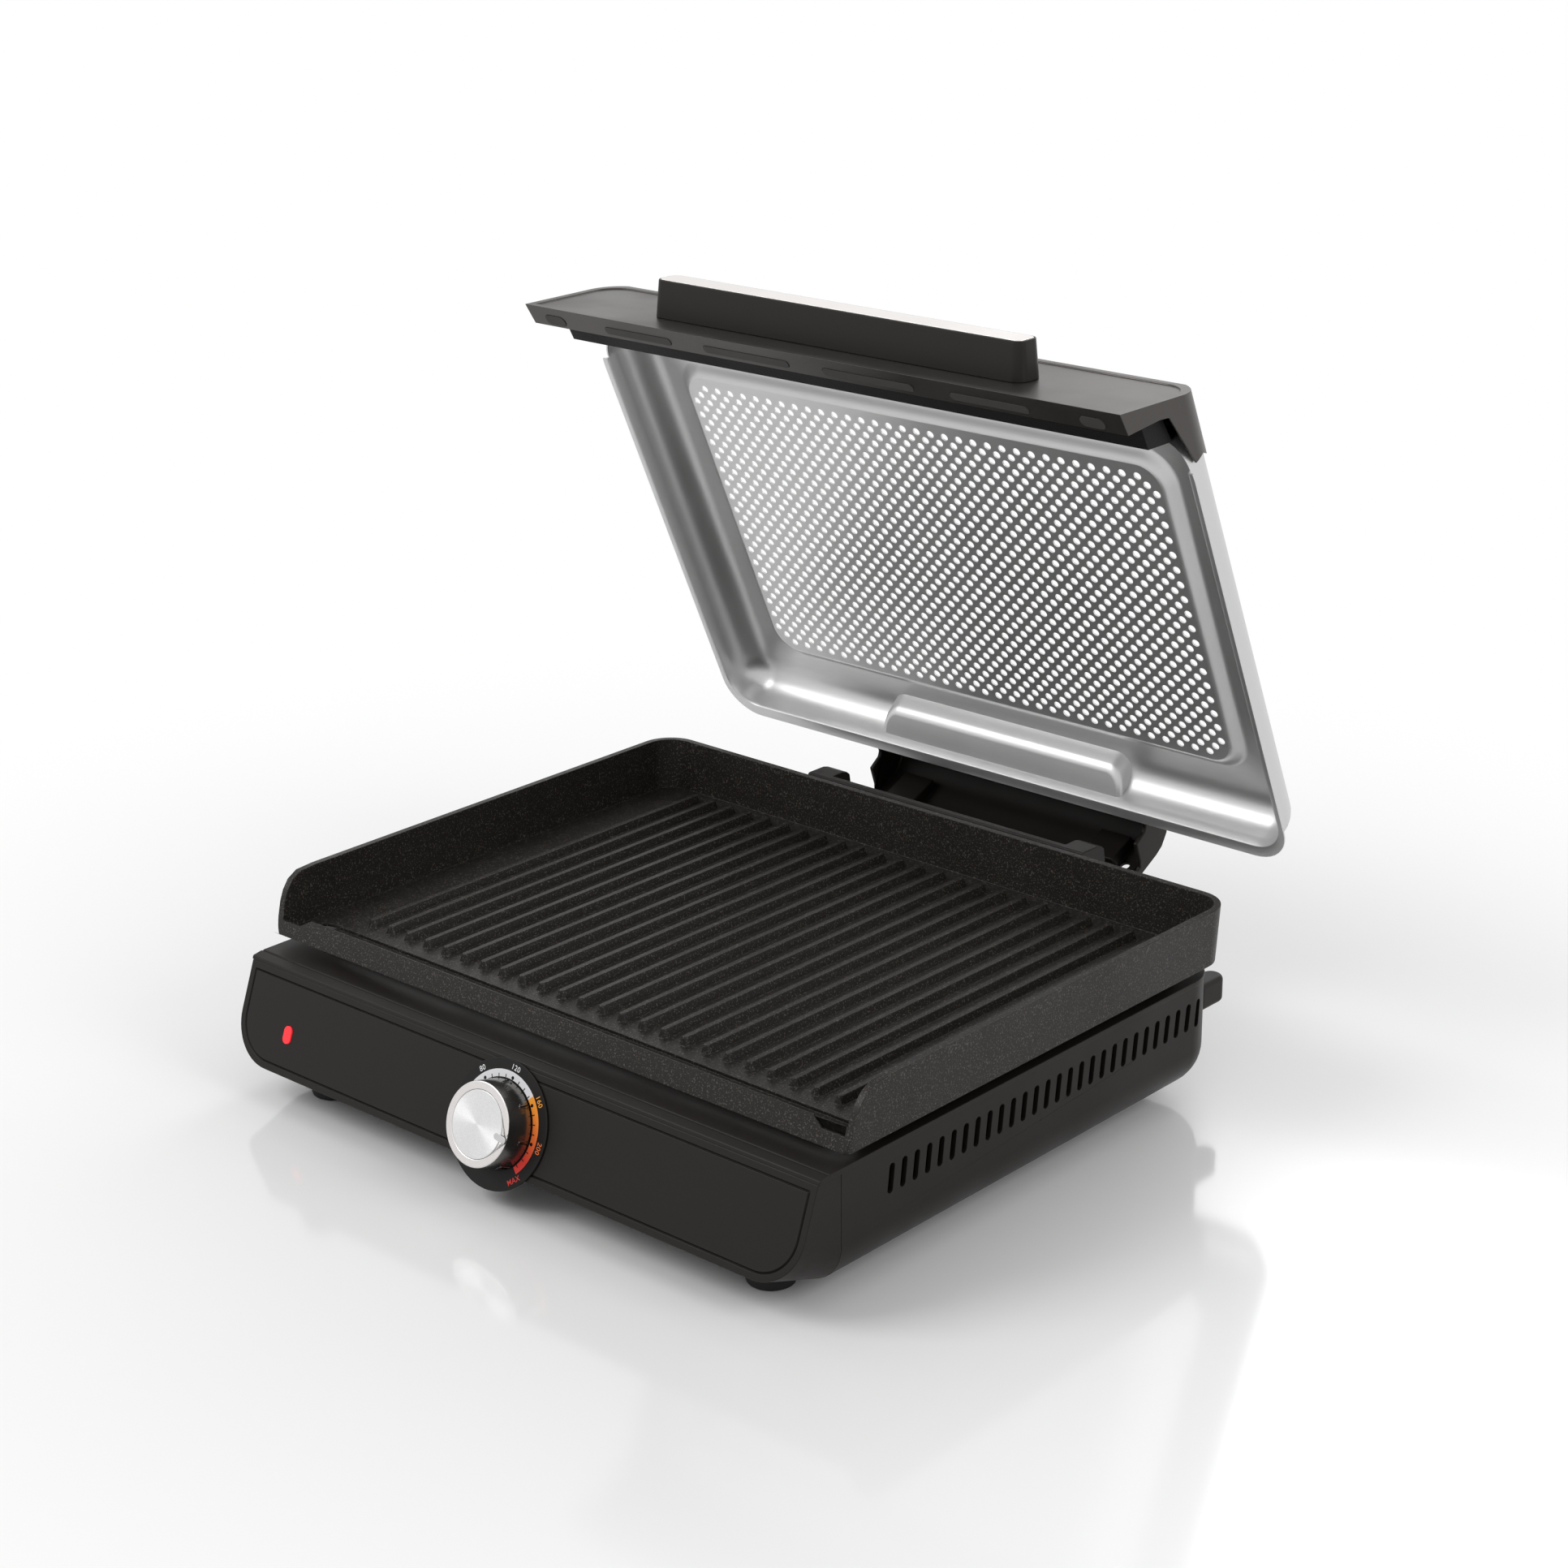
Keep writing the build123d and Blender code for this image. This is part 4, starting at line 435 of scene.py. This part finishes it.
spun = finish("spun_aluminium", disc_silver, roughness=0.3, grain=1500, depth=0.01, metallic=1.0)
shader = spun.node_tree.nodes["Principled BSDF"]
shader.inputs["Anisotropic"].default_value = 0.85
around = spun.node_tree.nodes.new("ShaderNodeTangent")
around.direction_type = "UV_MAP"
around.uv_map = "UVMap"
spun.node_tree.links.new(around.outputs["Tangent"], shader.inputs["Tangent"])
work = bmesh.new()
disc_line = [(r, disc_lift) for r in (disc_eye, 4, 9, 14, disc_r - disc_edge)]
disc_line += [(disc_r, -0.15), (disc_r, -0.7)]
disc_ends = [work.verts.new((0, r, z)) for r, z in disc_line]
disc_edges = [work.edges.new(pair) for pair in zip(disc_ends, disc_ends[1:])]
bmesh.ops.spin(work, geom=disc_edges + disc_ends, cent=(0, 0, 0), axis=(0, 0, -1), angle=math.tau,
               steps=disc_steps, use_merge=True)
share = work.loops.layers.uv.new("UVMap")
for face in work.faces:
    middle = face.calc_center_median()
    base_turn = math.atan2(middle.x, middle.y)
    for corner in face.loops:
        at = corner.vert.co
        turned = math.atan2(at.x, at.y)
        turned += math.tau * round((base_turn - turned) / math.tau)
        corner[share].uv = (turned / math.tau * streak_turns, at.xy.length / disc_spread)
eye = [e for e in work.edges if e.is_boundary and e.verts[0].co.xy.length < 1]
bmesh.ops.contextual_create(work, geom=eye)
bmesh.ops.recalc_face_normals(work, faces=work.faces)
if sum(f.normal.z for f in work.faces) < 0:
    bmesh.ops.reverse_faces(work, faces=work.faces)
work.transform(on_dial(knob_top))
disc = bpy.data.meshes.new("spun_disc")
work.to_mesh(disc)
work.free()
disc.polygons.foreach_set("use_smooth", [True] * len(disc.polygons))
disc.set_sharp_from_angle(angle=math.radians(30))
disc.materials.append(spun)
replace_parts(show(disc, "spun_disc", "knob"), "knob_cap")
dress(spun, "knob_cap")
pointer_paint = finish("pointer_paint", pointer_pale, roughness=0.35, grain=1500, depth=0.01, tone=0.05)
dress(pointer_paint, "knob_pointer")
rounded("knob_pointer", "pointer", pointer_paint, width=0.25)

# ---------------------------------------------------------------- hinge housing
# A black moulding behind the plate takes the hinge pins in two towers. Two stand-offs behind the
# base keep it clear of the wall.
nylon_white = (0.70, 0.69, 0.65)
hinge_plastic = finish("hinge_plastic", housing_black, roughness=0.46, grain=900, depth=0.05,
                       shine=housing_shine)
nylon = finish("nylon", nylon_white, roughness=0.5, grain=900, depth=0.02, tone=0.05)
dress(hinge_plastic, "hinge_housing", "rear_bumpers")
dress(nylon, "friction_washers")
rounded("hinge_housing", "hinge_towers", hinge_plastic, width=0.5)
rounded("rear_bumpers", "wall_stops", hinge_plastic, width=0.4)

# ---------------------------------------------------------------- lid pressing
# One satin stainless pressing: rim flange, rolled walls, a step down to the screen and a pocket
# behind it. The screen is a sheet with staggered round holes, welded into the step.
steel_tone = (0.61, 0.61, 0.61)
steel_gloss = 0.37
steel_metal = 0.82
hinge_point = Vector((0, 166.4, 69.9)) * mm
lid_open = 65.9
lid_turn = (Matrix.Translation(hinge_point) @ Matrix.Rotation(-math.radians(lid_open), 4, "X")
            @ Matrix.Translation(-hinge_point))
satin_steel = finish("satin_steel", steel_tone, roughness=steel_gloss, grain=1400, depth=0.004,
                     metallic=steel_metal, stretch=(0.1, 1, 1), tone=0.04, spread=0.02)
dress(satin_steel, "lid_pan", "lid_screen")

rim_low = 118.0
rim_drop = 2.0
rim_seat = 5.6
rim_lift = 0.6
roof = 144.0
pan_t = 1.0
wall_half, wall_front, wall_rear, wall_corner = 206.0, -151.0, 128.4, 20.0
rim_half, rim_rear, rim_corner = 210.0, 136.0, 24.0
wall_round = 18.0
screen_half, screen_front, screen_rear, screen_corner = 169.0, -113.5, 90.0, 14.0
step_run, step_drop = 9.5, 6.0
rim_start = -132.0
corner_parts = 10
step_parts = 8


def outline(half, front, rear, corner, height):
    """A closed line round the lid with round corners, drawn in mm on the closed lid."""
    middle = Matrix.Translation((0, (front + rear) / 2, height))
    place = middle @ Matrix.Diagonal((half, (rear - front) / 2, 1, 1))
    made = bmesh.ops.create_grid(work, x_segments=1, y_segments=1, size=1, matrix=place)
    bmesh.ops.bevel(work, geom=made["verts"], affect="VERTICES", offset=corner, segments=corner_parts,
                    profile=0.5, material=-1)
    sheet = work.faces[:]
    line = list(sheet[0].edges)
    bmesh.ops.delete(work, geom=sheet, context="FACES_ONLY")
    return line


work = bmesh.new()
lines = [outline(rim_half, wall_front, rim_rear, rim_corner, rim_low),
         outline(rim_half - rim_drop, wall_front, rim_rear - rim_seat, rim_corner - rim_drop, rim_low),
         outline(wall_half + rim_lift, wall_front, wall_rear + rim_lift, wall_corner + rim_lift,
                 rim_low + rim_lift),
         outline(wall_half, wall_front, wall_rear, wall_corner, rim_low + rim_drop)]
for part in range(step_parts + 1):
    risen = math.radians(90 * part / step_parts)
    inward = wall_round * (1 - math.cos(risen))
    height = roof - wall_round + wall_round * math.sin(risen)
    lines.append(outline(wall_half - inward, wall_front + inward, wall_rear - inward, wall_corner - inward,
                         height))
for part in range(step_parts + 1):
    across = 1 - part / step_parts
    fall = step_drop * (1 - across * across * (3 - 2 * across))
    grown = step_run * across
    lines.append(outline(screen_half + grown, screen_front - grown, screen_rear + grown,
                         screen_corner + grown, roof - fall))
for outer, inner in zip(lines, lines[1:]):
    bmesh.ops.bridge_loops(work, edges=outer + inner)
bmesh.ops.recalc_face_normals(work, faces=work.faces)
if sum(f.normal.z * f.calc_area() for f in work.faces) > 0:
    bmesh.ops.reverse_faces(work, faces=work.faces)
bmesh.ops.bisect_plane(work, geom=work.verts[:] + work.edges[:] + work.faces[:], dist=1e-4,
                       plane_co=(0, rim_start, 0), plane_no=(0, 1, 0))
middles = [(f, f.calc_center_median()) for f in work.faces]
bmesh.ops.delete(work, context="FACES",
                 geom=[f for f, at in middles if at.y < rim_start and at.z < rim_low + rim_drop])
bmesh.ops.solidify(work, geom=work.faces[:], thickness=pan_t)
shell_count = len(work.faces)

pocket_half = 90.0
pocket_line = [(110.3, 144.6), (114.0, 132.8), (129.2, 124.8), (129.2, 144.6)]
pocket_corner = 11.0
pocket_ridge = 3.5
pocket_front_end = 115.0
pocket_rear_end = 129.0
low_side = Vector((0, 0.46, 0.89))
start = [work.verts.new((-pocket_half, y, z)) for y, z in pocket_line]
profile = work.faces.new(start)
pushed = bmesh.ops.extrude_face_region(work, geom=[profile])
far = [v for v in pushed["geom"] if isinstance(v, bmesh.types.BMVert)]
bmesh.ops.translate(work, verts=far, vec=(2 * pocket_half, 0, 0))
bmesh.ops.recalc_face_normals(work, faces=work.faces[shell_count:])
work.faces.ensure_lookup_table()
block_edges = dict.fromkeys(e for f in work.faces[shell_count:] for e in f.edges)
upright = [e for e in block_edges if all(v.co.y < pocket_front_end for v in e.verts)
           and abs(e.verts[0].co.x - e.verts[1].co.x) < 1]
bmesh.ops.bevel(work, geom=upright, affect="EDGES", offset=pocket_corner, segments=10, profile=0.5,
                material=-1)
work.faces.ensure_lookup_table()
low_face = min(work.faces[shell_count:], key=lambda f: f.normal.dot(low_side))
ridge = [e for e in low_face.edges if min(v.co.y for v in e.verts) < pocket_rear_end]
bmesh.ops.bevel(work, geom=ridge, affect="EDGES", offset=pocket_ridge, segments=6, profile=0.5, material=-1)
work.transform(lid_turn @ Matrix.Scale(mm, 4))
pan = bpy.data.meshes.new("pressed_pan")
work.to_mesh(pan)
work.free()
pan.materials.append(satin_steel)
pan.polygons.foreach_set("use_smooth", [True] * len(pan.polygons))
pan.set_sharp_from_angle(angle=math.radians(35))
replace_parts(show(pan, "pressed_pan", "lid"), "lid_pan")

screen_low = 138.0
screen_t = 1.0
hole_r = 2.4
hole_step = 5.0
hole_rows = 39
first_row = -106.0
hole_sides = 16
half_columns = 33
spare_rows = 3
spare_columns = 2
end_row_cut = 2
weld_gap = 0.01
corner_steps = 8


def screen_cell(holed):
    """One diamond of the sheet, with or without its hole, drawn in mm."""
    work = bmesh.new()
    bmesh.ops.create_circle(work, segments=4, radius=hole_step)
    bmesh.ops.subdivide_edges(work, edges=work.edges, cuts=hole_sides // 4 - 1)
    outer = list(work.edges)
    if holed:
        ring = bmesh.ops.create_circle(work, segments=hole_sides, radius=hole_r)
        inner = list(dict.fromkeys(e for v in ring["verts"] for e in v.link_edges))
        bmesh.ops.bridge_loops(work, edges=outer + inner)
    else:
        bmesh.ops.contextual_create(work, geom=outer)
    bmesh.ops.recalc_face_normals(work, faces=work.faces)
    if sum(f.normal.z for f in work.faces) < 0:
        bmesh.ops.reverse_faces(work, faces=work.faces)
    cell = bpy.data.meshes.new("screen_cell")
    work.to_mesh(cell)
    work.free()
    return cell


cells = {True: screen_cell(True), False: screen_cell(False)}
work = bmesh.new()
for row in range(-spare_rows, hole_rows + spare_rows):
    for column in range(-half_columns - spare_columns, half_columns + spare_columns + 1):
        if (row + column) % 2 == 0:
            continue
        limit = half_columns - end_row_cut if row in (0, hole_rows - 1) else half_columns
        holed = 0 <= row < hole_rows and abs(column) <= limit
        cell = cells[holed].copy()
        cell.transform(Matrix.Translation((column * hole_step, first_row + row * hole_step, screen_low)))
        work.from_mesh(cell)
        bpy.data.meshes.remove(cell)
bmesh.ops.remove_doubles(work, verts=work.verts, dist=weld_gap)
middle_y = (screen_front + screen_rear) / 2
for quarter, (sx, sy) in enumerate([(1, 1), (-1, 1), (-1, -1), (1, -1)]):
    for step in range(corner_steps + 1):
        turned = math.radians(90 * quarter + 90 * step / corner_steps)
        out = Vector((math.cos(turned), math.sin(turned), 0))
        centre = Vector((sx * (screen_half - screen_corner),
                         middle_y + sy * ((screen_rear - screen_front) / 2 - screen_corner), screen_low))
        bmesh.ops.bisect_plane(work, geom=work.verts[:] + work.edges[:] + work.faces[:], dist=1e-4,
                               plane_co=centre + out * screen_corner, plane_no=out, clear_outer=True)
bmesh.ops.solidify(work, geom=work.faces[:], thickness=-screen_t)
bmesh.ops.recalc_face_normals(work, faces=work.faces)
work.transform(lid_turn @ Matrix.Scale(mm, 4))
screen = bpy.data.meshes.new("perforated_screen")
work.to_mesh(screen)
work.free()
screen.materials.append(satin_steel)
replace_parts(show(screen, "perforated_screen", "lid"), "lid_screen")

# ---------------------------------------------------------------- front cap and handle
# The cap closes the front of the lid: satin dark paint outside, grey pads on its lower edge and a
# black liner towards the food. The hollow bar handle carries a bright strip.
cap_brown = (0.070, 0.064, 0.060)
handle_brown = (0.0135, 0.0118, 0.0100)
pad_grey = (0.042, 0.040, 0.038)
strip_silver = (0.78, 0.75, 0.73)
liner_black = (0.007, 0.007, 0.007)
cap_paint = finish("cap_paint", cap_brown, roughness=0.34, grain=1500, depth=0.02, metallic=0.75, shine=0.3)
handle_paint = finish("handle_paint", handle_brown, roughness=0.4, grain=1500, depth=0.02, shine=0.22)
liner_plastic = finish("liner_plastic", liner_black, roughness=0.55, grain=900, depth=0.3, shine=0.15)
pad_rubber = finish("pad_rubber", pad_grey, roughness=0.6, grain=900, depth=0.04, shine=0.25)
strip_steel = finish("strip_steel", strip_silver, roughness=0.32, grain=1400, depth=0.008, metallic=1.0,
                     stretch=(0.1, 1, 1), tone=0.05)
dress(cap_paint, "lid_cap")
dress(handle_paint, "lid_handle")
dress(liner_plastic, "cap_liner")
dress(pad_rubber, "cap_pads")
dress(strip_steel, "handle_trim")
front_cap = rounded("lid_cap", "front_cap", cap_paint, width=0.4)

# The screw bosses behind the cap's face end level with it.
boss_level, boss_proud = 0.02, 0.8
boss_near, boss_far = 160, 180
panel = max((f for f in front_cap.data.polygons if f.normal.z > 0.9), key=lambda f: f.area)
for vert in front_cap.data.vertices:
    ahead = (vert.co - panel.center).dot(panel.normal)
    if boss_level * mm < ahead < boss_proud * mm and boss_near * mm < abs(vert.co.x) < boss_far * mm:
        vert.co -= panel.normal * ahead
rounded("cap_liner", "front_liner", liner_plastic, width=0.3)
rounded("cap_pads", "rest_pads", pad_rubber, width=0.15, segments=2)
rounded("lid_handle", "bar_handle", handle_paint, width=0.5)
rounded("handle_trim", "bright_strip", strip_steel, width=0.15, segments=2)

# ---------------------------------------------------------------- hinge bracket
# A black shell holds the rear of the lid between its walls, and its arms reach down to the pins.
# Four welded studs and nuts fix it to the pressing.
bracket_plastic = finish("bracket_plastic", housing_black, roughness=0.46, grain=900, depth=0.05,
                         shine=housing_shine)
dress(bracket_plastic, "hinge_bracket")
rounded("hinge_bracket", "hinge_shell", bracket_plastic, width=1.0)

# ---------------------------------------------------------------- floor, light and camera
# A pale polished floor that keeps the grill's shadow and mirror image near it and is plain white
# further out, a white surround and three soft lamps, seen from the photograph's place.
floor_tone = 0.93
floor_gloss = 0.1
floor_half = 6
shadow_reach = 0.34
white_reach = 0.80
surround_strength = 0.55
seen_strength = 1.0


def seen_share(nodes, links):
    """1 for rays from the camera, mirrors and glass, 0 for the light that falls on things."""
    seen = nodes.new("ShaderNodeLightPath")
    so_far = seen.outputs["Is Camera Ray"]
    for kind in ("Is Glossy Ray", "Is Transmission Ray"):
        either = nodes.new("ShaderNodeMath")
        either.operation = "MAXIMUM"
        links.new(so_far, either.inputs[0])
        links.new(seen.outputs[kind], either.inputs[1])
        so_far = either.outputs[0]
    return so_far


floor_work = bmesh.new()
bmesh.ops.create_grid(floor_work, x_segments=1, y_segments=1, size=floor_half)
floor_mesh = bpy.data.meshes.new("floor")
floor_work.to_mesh(floor_mesh)
floor_work.free()
floor_finish = bpy.data.materials.new("floor_finish")
floor_finish.use_nodes = True
nodes, links = floor_finish.node_tree.nodes, floor_finish.node_tree.links
polished = nodes["Principled BSDF"]
polished.inputs["Base Color"].default_value = (floor_tone, floor_tone, floor_tone, 1)
polished.inputs["Roughness"].default_value = floor_gloss
where = nodes.new("ShaderNodeTexCoord")
away = nodes.new("ShaderNodeVectorMath")
away.operation = "LENGTH"
links.new(where.outputs["Object"], away.inputs[0])
fading = nodes.new("ShaderNodeMapRange")
fading.interpolation_type = "SMOOTHSTEP"
fading.inputs["From Min"].default_value = shadow_reach
fading.inputs["From Max"].default_value = white_reach
links.new(away.outputs["Value"], fading.inputs["Value"])
share = nodes.new("ShaderNodeMath")
share.operation = "MULTIPLY"
links.new(fading.outputs["Result"], share.inputs[0])
links.new(seen_share(nodes, links), share.inputs[1])
white_floor = nodes.new("ShaderNodeEmission")
faded = nodes.new("ShaderNodeMixShader")
links.new(share.outputs[0], faded.inputs[0])
links.new(polished.outputs[0], faded.inputs[1])
links.new(white_floor.outputs[0], faded.inputs[2])
links.new(faded.outputs[0], nodes["Material Output"].inputs["Surface"])
floor_mesh.materials.append(floor_finish)
floor = bpy.data.objects.new("floor", floor_mesh)
bpy.context.scene.collection.objects.link(floor)

world = bpy.data.worlds.new("studio")
world.use_nodes = True
bpy.context.scene.world = world
nodes, links = world.node_tree.nodes, world.node_tree.links
nodes.clear()
around_light = nodes.new("ShaderNodeBackground")
around_light.inputs["Color"].default_value = (1, 1, 1, 1)
around_light.inputs["Strength"].default_value = surround_strength
white_back = nodes.new("ShaderNodeBackground")
white_back.inputs["Color"].default_value = (1, 1, 1, 1)
white_back.inputs["Strength"].default_value = seen_strength
either_way = nodes.new("ShaderNodeMixShader")
links.new(seen_share(nodes, links), either_way.inputs[0])
links.new(around_light.outputs[0], either_way.inputs[1])
links.new(white_back.outputs[0], either_way.inputs[2])
world_out = nodes.new("ShaderNodeOutputWorld")
links.new(either_way.outputs[0], world_out.inputs["Surface"])


lamp_size = 1.2


def lamp(name, place, aim, power):
    """A square soft lamp, its power in watts."""
    light = bpy.data.lights.new(name, "AREA")
    light.shape = "SQUARE"
    light.size = lamp_size
    light.energy = power
    made = bpy.data.objects.new(name, light)
    made.location = place
    made.rotation_euler = (Vector(aim) - Vector(place)).to_track_quat("-Z", "Y").to_euler()
    bpy.context.scene.collection.objects.link(made)


lamp("key_lamp", place=(-1.1, -1.5, 1.7), aim=(0, 0, 0.15), power=22)
lamp("side_lamp", place=(1.9, 0.2, 1.3), aim=(0, 0, 0.15), power=12)
lamp("rear_lamp", place=(-0.4, 1.8, 1.6), aim=(0, 0, 0.2), power=12)

camera_place = (1.1089, -1.2216, 0.7746)
camera_turn, camera_down, camera_roll = 41.97, 20.11, -0.49
camera_lens = 73.77
turned, down = math.radians(camera_turn), math.radians(camera_down)
back = Vector((math.sin(turned) * math.cos(down), -math.cos(turned) * math.cos(down), math.sin(down)))
view = bpy.data.cameras.new("view")
view.lens = camera_lens
view.sensor_width = 36
camera = bpy.data.objects.new("camera", view)
camera.matrix_world = (Matrix.Translation(camera_place) @ Matrix.Rotation(math.radians(camera_roll), 4, back)
                       @ (-back).to_track_quat("-Z", "Y").to_matrix().to_4x4())
bpy.context.scene.collection.objects.link(camera)
bpy.context.scene.camera = camera
bpy.context.scene.view_settings.view_transform = "Standard"
